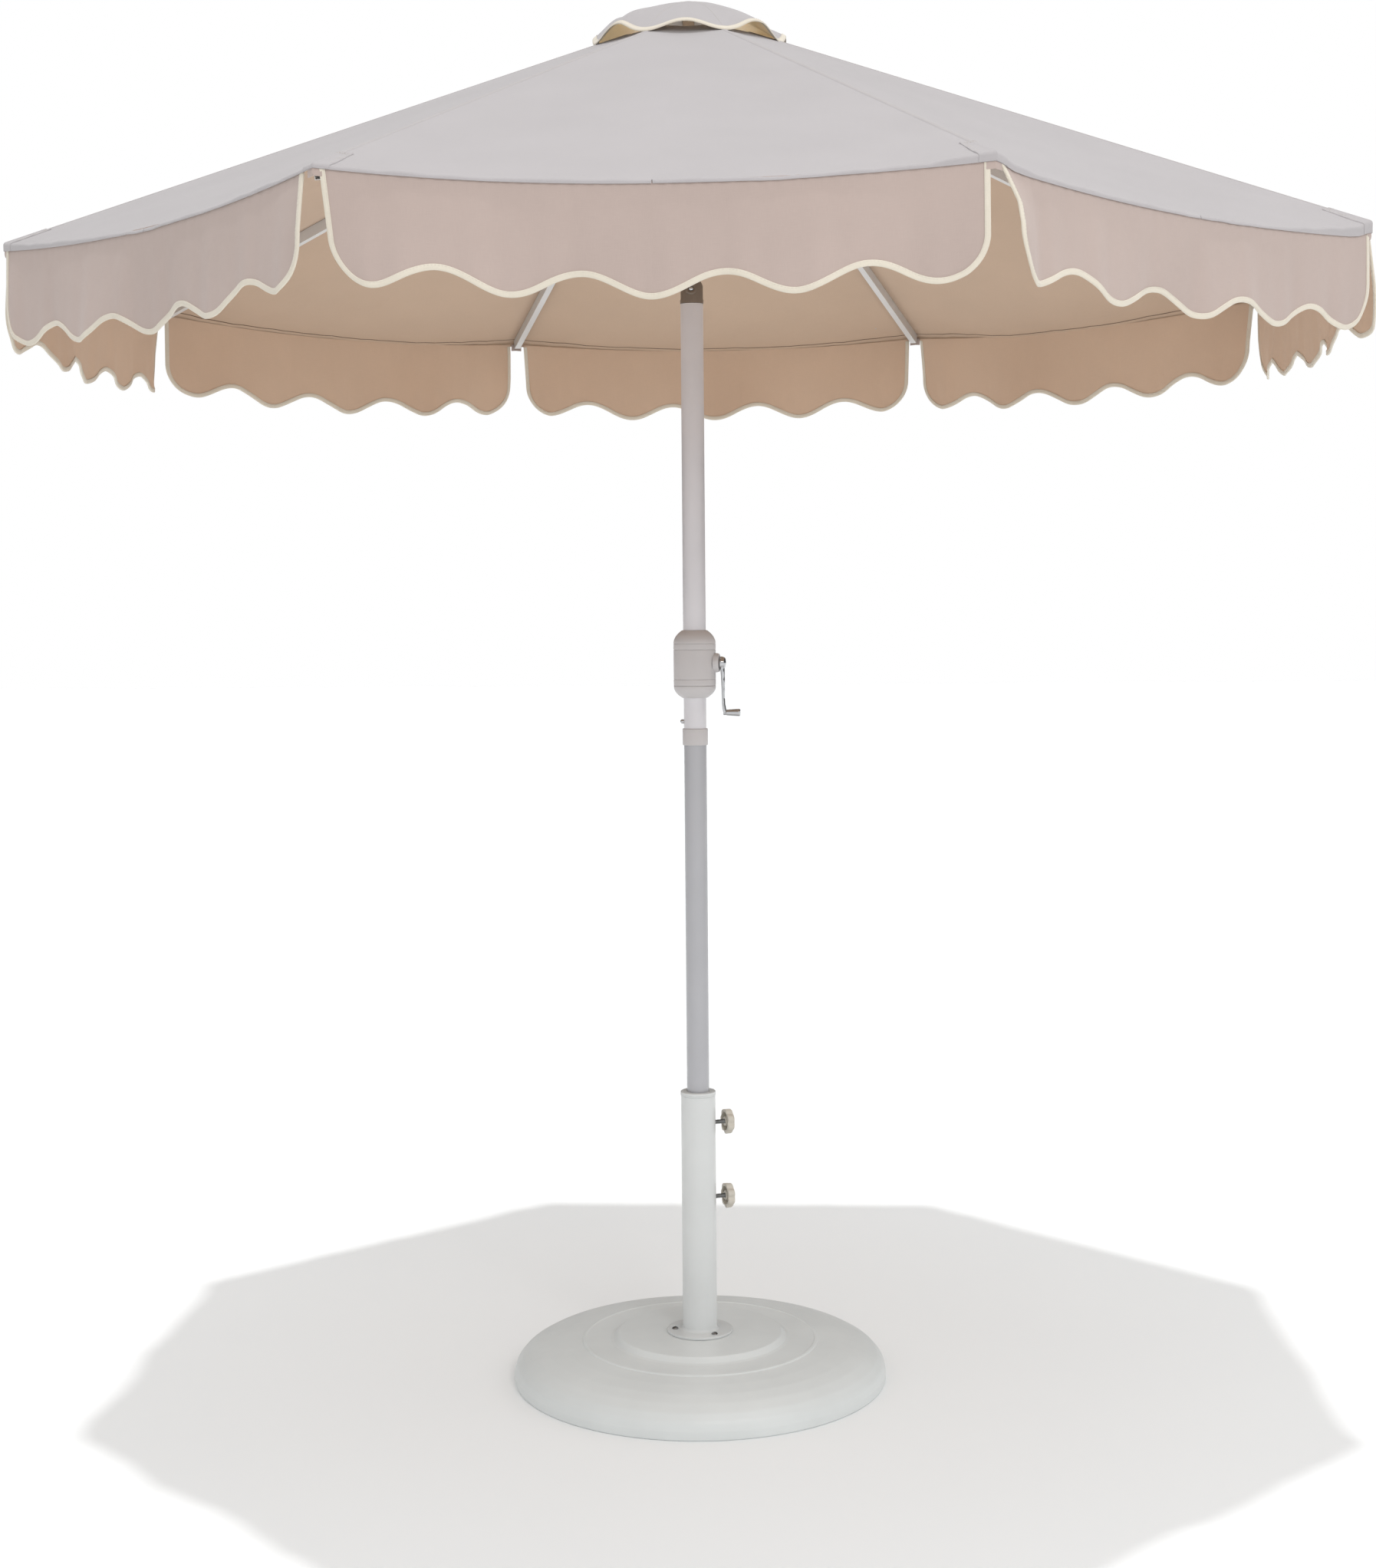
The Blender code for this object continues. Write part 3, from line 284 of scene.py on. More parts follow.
def prism(outline, low, high, made=()):
    """A solid between y = low and y = high, from a closed outline of (x, z) points."""
    count = len(outline)
    verts = [(x, y, z) for y in (low, high) for x, z in outline]
    faces = [list(range(count)), list(range(2 * count - 1, count - 1, -1))]
    faces += [[i, (i + 1) % count, count + (i + 1) % count, count + i] for i in range(count)]
    return piece("cutter", verts, faces, made)


def rod(radius, start, end, sides=48, made=()):
    along = Vector(end) - Vector(start)
    turn = Vector((0.0, 0.0, 1.0)).rotation_difference(along).to_matrix().to_4x4()
    outline = [(0.0, 0.0), (radius, 0.0), (radius, along.length), (0.0, along.length)]
    verts, faces = lathe_data(outline, sides, Matrix.Translation(start) @ turn)
    return piece("cutter", verts, faces, made)


def turned(angle, origin=(0.0, 0.0, 0.0)):
    return Matrix.Translation(origin) @ Matrix.Rotation(angle, 4, "Z")


def bore(radius, angle, height, near, far, sides, made=()):
    """A rod that points away from the axis, between two distances from it."""
    place = turned(angle, (0.0, 0.0, height))
    return rod(radius, place @ Vector((near, 0.0, 0.0)), place @ Vector((far, 0.0, 0.0)), sides, made)


def arc(radius, start, end, steps, middle=0.0, tall=None):
    """Points of an arc round (0, middle), or of an ellipse where tall is its other radius."""
    tall = radius if tall is None else tall
    return [(radius * math.cos(a), middle + tall * math.sin(a)) for a in np.linspace(start, end, steps)]


def attach(obj, body):
    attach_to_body(obj, body)


def stands_for(obj, body, slot, *nodes):
    attach(obj, body)
    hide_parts(*nodes)


# ------------ materials
def node(tree, kind, links=(), **values):
    """Adds a node, with attributes and unlinked socket values by name, and its input links."""
    made = tree.nodes.new(kind)
    for key, value in values.items():
        if hasattr(made, key) and key not in made.inputs:
            setattr(made, key, value)
        else:
            made.inputs[key].default_value = value
    for key, source in links:
        tree.links.new(source, made.inputs[key])
    return made


def shader(name, space="Object"):
    """A new material with its node tree, its shader and its texture coordinates."""
    made = bpy.data.materials.new(name)
    made.use_nodes = True
    tree = made.node_tree
    return made, tree, tree.nodes["Principled BSDF"], node(tree, "ShaderNodeTexCoord").outputs[space]


def noise_at(tree, coords, scale, detail=3.0, stretch=None):
    if stretch is not None:
        coords = node(tree, "ShaderNodeMapping", [("Vector", coords)], Scale=stretch).outputs["Vector"]
    return node(tree, "ShaderNodeTexNoise", [("Vector", coords)], Scale=scale, Detail=detail).outputs["Fac"]


def ramp(tree, source, low, high, start=0.3, end=0.7):
    made = node(tree, "ShaderNodeValToRGB", [("Fac", source)])
    for element, position, color in zip(made.color_ramp.elements, (start, end), (low, high)):
        element.position = position
        element.color = (*color, 1.0)
    return made.outputs["Color"]


def remap(tree, source, low, high, start=0.3, end=0.7):
    """The source's range from start to end becomes the range from low to high."""
    ends = {"From Min": start, "From Max": end, "To Min": low, "To Max": high}
    return node(tree, "ShaderNodeMapRange", [("Value", source)], **ends).outputs["Result"]


def combine(tree, operation, first, second):
    return node(tree, "ShaderNodeMath", [(0, first), (1, second)], operation=operation).outputs["Value"]


def bump(tree, source, strength, distance):
    made = node(tree, "ShaderNodeBump", [("Height", source)], Strength=strength, Distance=distance)
    return made.outputs["Normal"]


def shades(color, by):
    return [min(1.0, c * (1.0 - by)) for c in color], [min(1.0, c * (1.0 + by)) for c in color]


def dress(tree, principled, color, rough, normal=None, values=()):
    """Gives a shader its colour, roughness and normal from nodes, and constant values by name."""
    links = {"Base Color": color, "Roughness": rough, "Normal": normal}
    for key, source in links.items():
        if source is not None:
            tree.links.new(source, principled.inputs[key])
    for key, value in dict(values).items():
        principled.inputs[key].default_value = value


def coated(name, color, roughness, metallic=0.0, grain=700.0, depth=0.00004, edge_color=None, coat=0.0):
    """Paint, moulded plastic or plain metal: a fine skin texture, uneven gloss and slight mottling."""
    made, tree, principled, coords = shader(name)
    base = ramp(tree, noise_at(tree, coords, 9.0, 5.0), *shades(color, 0.03))
    # Where an edge colour is given, convex edges (high pointiness) blend towards it.
    if edge_color is not None:
        point = node(tree, "ShaderNodeNewGeometry").outputs["Pointiness"]
        links = [("Factor", remap(tree, point, 0.0, 1.0, 0.52, 0.62)), ("A", base)]
        base = node(tree, "ShaderNodeMix", links, data_type="RGBA", B=(*edge_color, 1.0)).outputs["Result"]
    gloss = noise_at(tree, coords, 55.0, 4.0)
    rough = remap(tree, gloss, max(0.02, roughness - 0.05), roughness + 0.06)
    skin = bump(tree, noise_at(tree, coords, grain, 2.0), 0.35, depth)
    dress(tree, principled, base, rough, skin, {"Metallic": metallic, "Coat Weight": coat})
    return made


def moulded(name, color, edge_color=None):
    return coated(name, color, 0.5, grain=900.0, depth=0.00006, edge_color=edge_color)


def pole_paint(name, color):
    return coated(name, color, 0.34, metallic=0.2, grain=1400.0, depth=0.00002, coat=0.15)


def brushed(name, color, roughness, stretch=(30.0, 30.0, 1500.0)):
    """Metal with fine lines across the stretched axis and smudges in its gloss."""
    made, tree, principled, coords = shader(name)
    lines = noise_at(tree, coords, 1.0, 3.0, stretch)
    base = ramp(tree, lines, *shades(color, 0.06))
    rough = remap(tree, noise_at(tree, coords, 70.0, 4.0), roughness - 0.04, roughness + 0.08)
    dress(tree, principled, base, rough, bump(tree, lines, 0.12, 0.00003), {"Metallic": 1.0})
    return made


def concrete():
    made, tree, principled, coords = shader("concrete")
    sand = noise_at(tree, coords, 160.0, 8.0)
    patches = noise_at(tree, coords, 12.0, 4.0)
    mottled = combine(tree, "MULTIPLY", sand, patches)
    base = ramp(tree, mottled, (0.24, 0.235, 0.22), (0.42, 0.41, 0.39), 0.15, 0.4)
    dress(tree, principled, base, remap(tree, patches, 0.8, 0.95), bump(tree, sand, 0.6, 0.0006))
    return made


def woven(name, color, thread=0.0007, ribs=1.0, sheen=0.25, depth=0.00012):
    """Woven cloth on UVs in metres: warp and weft threads, slubs along both, and faint mottling."""
    made, tree, principled, coords = shader(name, "UV")
    waves = []
    for direction, share in (("X", 1.0), ("Y", ribs)):
        values = {"Scale": math.pi / 10.0 / (thread * share), "Distortion": 0.6, "Detail Scale": 0.4}
        wave = node(tree, "ShaderNodeTexWave", [("Vector", coords)], bands_direction=direction, **values)
        waves.append(wave.outputs["Fac"])
    warp = noise_at(tree, coords, 1.0, 2.0, (1600.0, 60.0, 1.0))
    weft = noise_at(tree, coords, 1.0, 2.0, (60.0, 1600.0, 1.0))
    slubs = combine(tree, "MULTIPLY", warp, weft)
    fine = ramp(tree, slubs, *shades(color, 0.022), 0.12, 0.4)
    soft = ramp(tree, noise_at(tree, coords, 5.0, 4.0), *shades((0.97, 0.97, 0.97), 0.03))
    links = [("A", fine), ("B", soft)]
    base = node(tree, "ShaderNodeMix", links, data_type="RGBA", blend_type="MULTIPLY", Factor=1.0)
    weave = bump(tree, combine(tree, "MULTIPLY", *waves), 0.5, depth)
    values = {"Sheen Weight": sheen, "Sheen Roughness": 0.6, "Specular IOR Level": 0.25}
    dress(tree, principled, base.outputs["Result"], remap(tree, slubs, 0.82, 0.95), weave, values)
    return made


def see_through(made):
    """Thin cloth that lets the light on its other face glow through."""
    values = {"Subsurface Weight": 0.8, "Subsurface Radius": (1.0, 0.85, 0.7), "Subsurface Scale": 0.004}
    for key, value in values.items():
        made.node_tree.nodes["Principled BSDF"].inputs[key].default_value = value


# Painted light: the canopy, valance and vent cap are one fabric; the top's cloth is a cooler, greyer copy
# that stands in for sheen from above.
TOP_CLOTH_SHEEN = woven("canopy_cloth_top_painted_sheen", (0.415, 0.39, 0.395))
# Painted light: a warmer copy of the same fabric for the canopy's underside, standing in for light glowing
# through the cloth.
UNDER_CLOTH_GLOW = woven("canopy_cloth_under_painted_glow", (0.51, 0.37, 0.268), sheen=0.1)
# Painted light: a warmer, lighter copy of the fabric for the valance's inner face, standing in for light
# glowing through the cloth.
LINING_CLOTH_GLOW = woven("valance_cloth_inner_painted_glow", (0.62, 0.452, 0.332), sheen=0.1)
# Painted light: a much lighter, warmer copy of the fabric for the vent cap's inside, a painted glow on top of
# the real subsurface glow that see_through adds.
VENT_LINING_GLOW = woven("vent_cap_lining_painted_glow", (0.86, 0.69, 0.53), sheen=0.1)
see_through(VENT_LINING_GLOW)
FLAP_CLOTH = woven("valance_cloth", (0.452, 0.36, 0.323))
# Partly the hem tape's own colour and partly painted shadow: a very dark brown line on the underside at the
# rim, where the seam allowances lie in shade.
HEM_SHADE_CLOTH = woven("hem_tape_painted_shade", (0.16, 0.1, 0.065), thread=0.0009, sheen=0.1)
BINDING = woven("binding_tape", (0.68, 0.62, 0.52), thread=0.0012, ribs=0.6, depth=0.0002)
THREAD = woven("sewing_thread", (0.66, 0.61, 0.55), thread=0.0003)
# Lighter colour for the base's convex edges.
WHITE_EDGES = (0.78, 0.79, 0.78)
BASE_WHITE = coated("base_white", (0.71, 0.735, 0.73), 0.42, grain=420.0, depth=0.00008, edge_color=WHITE_EDGES)
TUBE_WHITE = coated("tube_white", (0.66, 0.675, 0.67), 0.36, coat=0.1)
POLE_GREY = pole_paint("pole_grey", (0.43, 0.43, 0.45))
# Painted light: a lighter copy of the pole paint for the crank section, to offset the canopy's shade on it.
UPPER_GREY_LIT = pole_paint("upper_pole_grey_painted_light", (0.64, 0.62, 0.64))
HOUSING_GREY = coated("housing_grey", (0.53, 0.505, 0.505), 0.42, grain=900.0, depth=0.00005)
TAUPE = coated("tilt_taupe", (0.165, 0.126, 0.096), 0.38, metallic=0.3, grain=900.0, coat=0.1)
KNOB_BEIGE = moulded("knob_beige", (0.58, 0.54, 0.47), (0.64, 0.6, 0.54))
FRAME_PAINT = coated("frame_paint", (0.62, 0.61, 0.6), 0.4, metallic=0.1, grain=1200.0)
HUB_CAP_TAN = moulded("hub_cap_tan", (0.46, 0.36, 0.27))
BLACK_PLASTIC = moulded("hub_black", (0.035, 0.035, 0.037), (0.06, 0.06, 0.06))
CHROME = brushed("chrome", (0.48, 0.48, 0.49), 0.08)
STEEL = brushed("steel", (0.3, 0.3, 0.3), 0.3, (1500.0, 30.0, 30.0))
CONCRETE = concrete()


# ------------ base, tube and clamps
def base_pieces():
    dome = [
        (0.0, BASE_TOP_Z), (BASE_DISC_R - 0.004, BASE_TOP_Z, 0.004),
        (BASE_DISC_R + 0.0045, BASE_TOP_Z - 0.0085, 0.004),
        (BASE_DISC_R + 0.01, BASE_TOP_Z - 0.01, 0.006), (0.1965, 0.0676, 0.002),
        (0.1985, 0.0686, 0.0015), (0.202, 0.068, 0.0015), (0.2035, 0.0662, 0.002),
        (0.235, 0.0634, 0.03), (0.265, 0.0585, 0.03), (0.288, 0.0515, 0.03), (0.3055, 0.0415, 0.02),
        (0.3165, 0.029, 0.02), (BASE_R, 0.015, 0.01), (BASE_R, 0.0, 0.006), (0.3135, 0.0, 0.001),
        (0.3135, 0.005, 0.001), (0.311, 0.024, 0.01), (0.3, 0.035, 0.01), (0.26, 0.0525, 0.02),
        (0.199, 0.0632, 0.02), (0.14, 0.07, 0.01), (0.134, 0.0742, 0.003), (0.0, 0.0742),
    ]
    shell = lathe("base_dome", dome, BASE_WHITE, 160)
    stands_for(shell, "base", "base_shell", "base_shell")

    flange = [
        (0.0, 0.0785), (0.0565, 0.0785, 0.0012), (0.0565, FLANGE_TOP_Z, 0.0014),
        (TUBE_R + 0.0035, FLANGE_TOP_Z, 0.003), (TUBE_R, FLANGE_TOP_Z + 0.004, 0.002),
        (TUBE_R, TUBE_TOP_Z, 0.0006), (0.0274, TUBE_TOP_Z, 0.0006), (0.0274, FLANGE_TOP_Z + 0.0005),
        (0.0, FLANGE_TOP_Z + 0.0005),
    ]
    tube = lathe("standing_tube", flange, TUBE_WHITE, 128)
    carve(tube, cuts=[bore(0.0041, KNOB_ANGLE, z, 0.015, 0.045, 32) for z in KNOB_HEIGHTS.values()])
    stands_for(tube, "base", "base_tube", "base_tube")

    head = FLANGE_TOP_Z + 0.0003
    screw = [
        (0.0, 0.052), (0.0027, 0.0545, 0.001), (0.0027, head), (0.0054, head, 0.0004),
        (0.0054, head + 0.001, 0.0008), (0.0036, head + 0.0027, 0.002), (0.0, head + 0.0031),
    ]
    for i, angle in enumerate(SCREW_ANGLES):
        place = Matrix.Translation((SCREW_R * math.cos(angle), SCREW_R * math.sin(angle), 0.0))
        spin = place @ Matrix.Rotation(0.4 + i, 4, "Z")
        made = lathe(f"pan_head_screw_{i + 1}", screw, STEEL, 40, place)
        low, high = head + 0.0012, head + 0.006
        long, wide = 0.0027, 0.0005
        slots = [block((-x, -y, low), (x, y, high), spin) for x, y in ((long, wide), (wide, long))]
        carve(made, cuts=slots)
        stands_for(made, "base", "flange_screws", f"flange_screw_{i + 1}")

    ring = [
        (TUBE_R + 0.0008, TUBE_TOP_Z + 0.0003, 0.0003), (TUBE_R + 0.0008, TUBE_TOP_Z + 0.0022, 0.0002),
        (TUBE_R + 0.0002, TUBE_TOP_Z + 0.0026, 0.0002), (TUBE_R + 0.0002, TUBE_TOP_Z + 0.0031, 0.0002),
        (TUBE_R + 0.0008, TUBE_TOP_Z + 0.0035, 0.0002), (TUBE_R + 0.0008, CAP_RING_TOP_Z, 0.0016),
        (POLE_R + 0.0003, CAP_RING_TOP_Z, 0.0008), (POLE_R + 0.0003, TUBE_TOP_Z - 0.025, 0.0005),
        (0.0271, TUBE_TOP_Z - 0.025, 0.0005), (0.0271, TUBE_TOP_Z + 0.0003),
    ]
    stands_for(lathe("guide_ring", ring, TUBE_WHITE, 128), "pole_guide", "tube_cap", "tube_cap")


def lobed(radius, angle):
    """Radius of a clamp knob round its rim, drawn in between its seven lobes."""
    dip = 0.5 - 0.5 * math.cos(7 * angle)
    return radius - 0.0034 * dip**1.6 * max(0.0, (radius - LOBES_FROM) / 0.006)


def clamp_pieces():
    """Threaded studs and seven-lobed knobs, whose near side is hollow."""
    pitch = 0.00125
    length_from, length_to = POLE_R + 0.0004, KNOB_NEAR + 0.0093
    cols, rows = 40, 240
    far = KNOB_NEAR + 0.0125
    profile = [
        (0.0041, KNOB_NEAR, 0.0003), (0.008, KNOB_NEAR, 0.0006), (0.0088, KNOB_NEAR + 0.008, 0.001),
        (0.015, KNOB_NEAR + 0.008, 0.001), (LOBES_FROM, KNOB_NEAR, 0.0007), (0.0218, KNOB_NEAR, 0.0012),
        (0.0214, far, 0.0042), (0.0132, far, 0.0008), (0.0124, far - 0.0009, 0.0008),
        (0.0, far - 0.0009), (0.0, KNOB_NEAR + 0.0098), (0.0041, KNOB_NEAR + 0.0098),
    ]
    for level, height in KNOB_HEIGHTS.items():
        place = turned(KNOB_ANGLE, (0.0, 0.0, height))
        verts = []
        for r in range(rows):
            x = length_from + (length_to - length_from) * r / (rows - 1)
            ease = min(1.0, (x - length_from) / 0.0012, (length_to - x) / 0.0012)
            for c in range(cols):
                a = 2.0 * math.pi * c / cols
                turn = (x / pitch - c / cols) % 1.0
                depth = 0.00055 * min(1.0, 1.35 * (1.0 - abs(2.0 * turn - 1.0)))
                radius = 0.0038 - depth - 0.0008 * (1.0 - ease)
                verts.append(place @ Vector((x, radius * math.cos(a), radius * math.sin(a))))
        stud = piece(f"threaded_stud_{level}", verts, tube_faces(rows, cols), [STEEL], sharp=60.0)
        stands_for(stud, f"clamp_screw_{level}", "clamp_studs", f"clamp_stud_{level}")
        verts, faces = lathe_data(filleted(profile, 6), 168, place @ Z_TO_X, lobed)
        knob = piece(f"lobed_knob_{level}", verts, faces, [KNOB_BEIGE], sharp=40.0)
        stands_for(knob, f"clamp_wheel_{level}", "clamp_knobs", f"clamp_knob_{level}")


# ------------ pole, collar and housing
def pole_pieces():
    low = FLANGE_TOP_Z + 0.0008
    lower = [
        (POLE_R, low, 0.0004), (POLE_R, JOINT_Z - 0.0018, 0.001), (0.0174, JOINT_Z - 0.0003, 0.0006),
        (0.0174, 1.162, 0.0004), (0.0161, 1.162, 0.0004), (0.0161, JOINT_Z - 0.004, 0.001),
        (BORE_R, JOINT_Z - 0.006, 0.001), (BORE_R, low),
    ]
    pole = lathe("pole_lower", lower, POLE_GREY)
    carve(pole, cuts=[bore(0.0039, 0.0, SNAP_Z, -0.03, -0.01, 32)])
    stands_for(pole, "pole", "poles", "lower_pole")

    top = TILT_LOW_Z - 0.0003
    crank_section = [(POLE_R, JOINT_Z, 0.0004), (POLE_R, top, 0.0004), (BORE_R, top), (BORE_R, JOINT_Z)]
    # The crank section takes the lighter, painted-light copy of the pole paint.
    pole = lathe("pole_crank_section", crank_section, UPPER_GREY_LIT)
    snap_hole = bore(0.0039, 0.0, SNAP_Z, -0.03, -0.01, 32)
    carve(pole, cuts=[snap_hole, bore(SHAFT_HOLE_R, CRANK_ANGLE, CRANK_Z, -0.03, 0.03, 32)])
    stands_for(pole, "pole", "poles", "crank_pole")

    ring = [
        (0.0214, COLLAR[0], 0.001), (0.0214, COLLAR[1], 0.001), (0.0193, COLLAR[1], 0.0005),
        (0.0193, COLLAR[0], 0.0005),
    ]
    stands_for(lathe("joint_collar", ring, HOUSING_GREY), "pole", "collar", "pole_collar")

    ball = [(0.0, 0.008), (0.0036, 0.008), (0.0036, 0.0216), *arc(0.0036, 0.12, 1.45, 12, 0.0216)]
    along = Matrix.Translation((0, 0, SNAP_Z)) @ Matrix.Rotation(math.radians(-90), 4, "Y")
    made = lathe("snap_ball", ball + [(0.0, 0.0252)], CHROME, 48, along)
    stands_for(made, "snap_pin", "chrome", "snap_button")


def groove(height, width=0.0006, depth=0.0012):
    """Three outline points of a fine groove on the housing's wall, which is passed downwards."""
    levels = ((0.0, width), (depth, 0.0), (0.0, -width))
    return [(HOUSING_R - inwards, height + up, 0.0003) for inwards, up in levels]


def dome(end, inwards, tall):
    """Outline of the housing's rounded end, from its wall to its rim round the pole."""
    rim = 0.0206
    steps = np.linspace(0.0, math.pi / 2, 14)[:-1]
    wall = [
        (rim + (HOUSING_R - rim) * math.cos(a) ** 1.8, end + inwards * (tall - tall * math.sin(a)))
        for a in steps
    ]
    return wall + [(rim, end, 0.0008)]


def housing_pieces():
    low, high = HOUSING
    inside = HOUSING_R - 0.0028
    upper = [
        (0.0193, high, 0.0006), *dome(high, -1.0, 0.0217)[::-1],
        *groove(high - 0.0225), *groove(high - 0.0325), *groove(HOUSING_SPLIT + 0.011),
        (HOUSING_R, HOUSING_SPLIT + 0.0003, 0.0006), (inside, HOUSING_SPLIT + 0.0003, 0.0003),
        (inside, high - 0.024, 0.004), (HOUSING_R - 0.012, high - 0.008, 0.003),
        (0.0193, high - 0.006, 0.0005),
    ]
    shell = lathe("crank_housing", upper[::-1], HOUSING_GREY, 128)
    side = turned(CRANK_ANGLE, (0, 0, CRANK_Z)) @ Matrix.Rotation(math.radians(90), 4, "Y")
    boss = [
        (0.0, 0.033), (0.0168, 0.033), (0.016, 0.0395, 0.001), (0.015, 0.0425, 0.0016),
        (0.011, 0.0425, 0.0005), (0.0104, 0.0419, 0.0004), (0.0, 0.0419),
    ]
    verts, faces = lathe_data(filleted(boss), 72, side)
    shaft_hole = bore(SHAFT_HOLE_R, CRANK_ANGLE, CRANK_Z, 0.025, 0.06, 40)
    carve(shell, joins=[piece("cutter", verts, faces, [HOUSING_GREY])], cuts=[shaft_hole])
    stands_for(shell, "pole", "housing", "housing_shell")

    cap = [
        (HOUSING_R, HOUSING_SPLIT, 0.0006), *dome(low, 1.0, 0.019), (0.0193, low, 0.0006),
        (0.0193, low + 0.006, 0.0005), (HOUSING_R - 0.011, low + 0.008, 0.002),
        (inside - 0.0026, low + 0.018, 0.003), (inside - 0.0026, HOUSING_SPLIT + 0.006),
        (inside - 0.0003, HOUSING_SPLIT + 0.006), (inside - 0.0003, HOUSING_SPLIT),
    ]
    stands_for(lathe("housing_lower_cap", cap[::-1], HOUSING_GREY, 128), "pole", "housing", "housing_cap")


def crank_pieces():
    place = turned(CRANK_ANGLE, (0, 0, CRANK_Z))
    along = Matrix.Rotation(math.radians(90), 4, "Y")
    spool = [
        (0.0, -0.0215), (0.004, -0.0215, 0.0004), (0.004, -0.0105), (0.0132, -0.0105, 0.0004),
        (0.0132, -0.009, 0.0004), (0.0114, -0.009), (0.0114, 0.008), (0.0132, 0.008, 0.0004),
        (0.0132, 0.0095, 0.0004), (0.004, 0.0095), (0.004, 0.05, 0.0004), (0.0, 0.05),
    ]
    made = lathe("winding_spool", spool, STEEL, 64, place @ along)
    stands_for(made, "crank", "crank_spool", "crank_spool")

    path = [
        (0.0472, -0.003), (0.0476, -0.012), (0.0482, -0.028), (0.0485, -0.045), (0.0486, -0.06),
        (0.049, -0.07), (0.05, -0.077), (0.051, -0.0815), (0.0518, -0.0845),
    ]
    sizes = [
        (0.0034, 0.0078), (0.0032, 0.007), (0.0028, 0.0058), (0.0026, 0.0052), (0.0025, 0.0048),
        (0.0026, 0.0047), (0.0029, 0.0047), (0.003, 0.0045), (0.0028, 0.0038),
    ]
    fine_path, fine_sizes = [], []
    for i in range(8 * (len(path) - 1) + 1):
        at = min(i // 8, len(path) - 2)
        rest = i / 8 - at
        ease = rest * rest * (3 - 2 * rest)
        fine_path.append(tuple(np.array(path[at]) * (1 - rest) + np.array(path[at + 1]) * rest))
        fine_sizes.append(tuple(np.array(sizes[at]) * (1 - ease) + np.array(sizes[at + 1]) * ease))
    arm = sweep("crank_lever", fine_path, fine_sizes, CHROME, 28, place)
    hub = [
        (0.0, 0.0428), (0.0102, 0.0428, 0.0012), (0.0107, 0.0465, 0.0015), (0.0088, 0.052, 0.003),
        (0.0, 0.0535),
    ]
    verts, faces = lathe_data(filleted(hub), 56, place @ along)
    low = CRANK_Z - CRANK_ARM
    pin = bore(0.0022, CRANK_ANGLE, low, 0.0505, 0.07, 32, [CHROME])
    stub = bore(0.0044, CRANK_ANGLE, low, 0.049, 0.0531, 40, [CHROME])
    carve(arm, joins=[piece("cutter", verts, faces, [CHROME]), pin, stub])
    stands_for(arm, "crank", "chrome", "crank_arm")

    grip = [
        (0.0025, 0.0535, 0.0003), (0.0046, 0.0535, 0.0006), (0.005, 0.056, 0.001),
        (0.0056, 0.064, 0.006), (0.0063, 0.0745, 0.002), (0.0058, 0.0772, 0.0012), (0.0, 0.0772),
        (0.0, 0.0712), (0.0025, 0.0712),
    ]
    made = lathe("crank_knob", grip, CHROME, 56, turned(CRANK_ANGLE, (0, 0, low)) @ along)
    stands_for(made, "crank_handle", "chrome", "crank_grip")


# ------------ tilt joint
def teardrop(angle):
    """Distance from the button's centre to the escutcheon's edge, pointed upwards."""
    up = max(0.0, math.sin(angle))
    return 0.0096 + 0.0046 * up**6


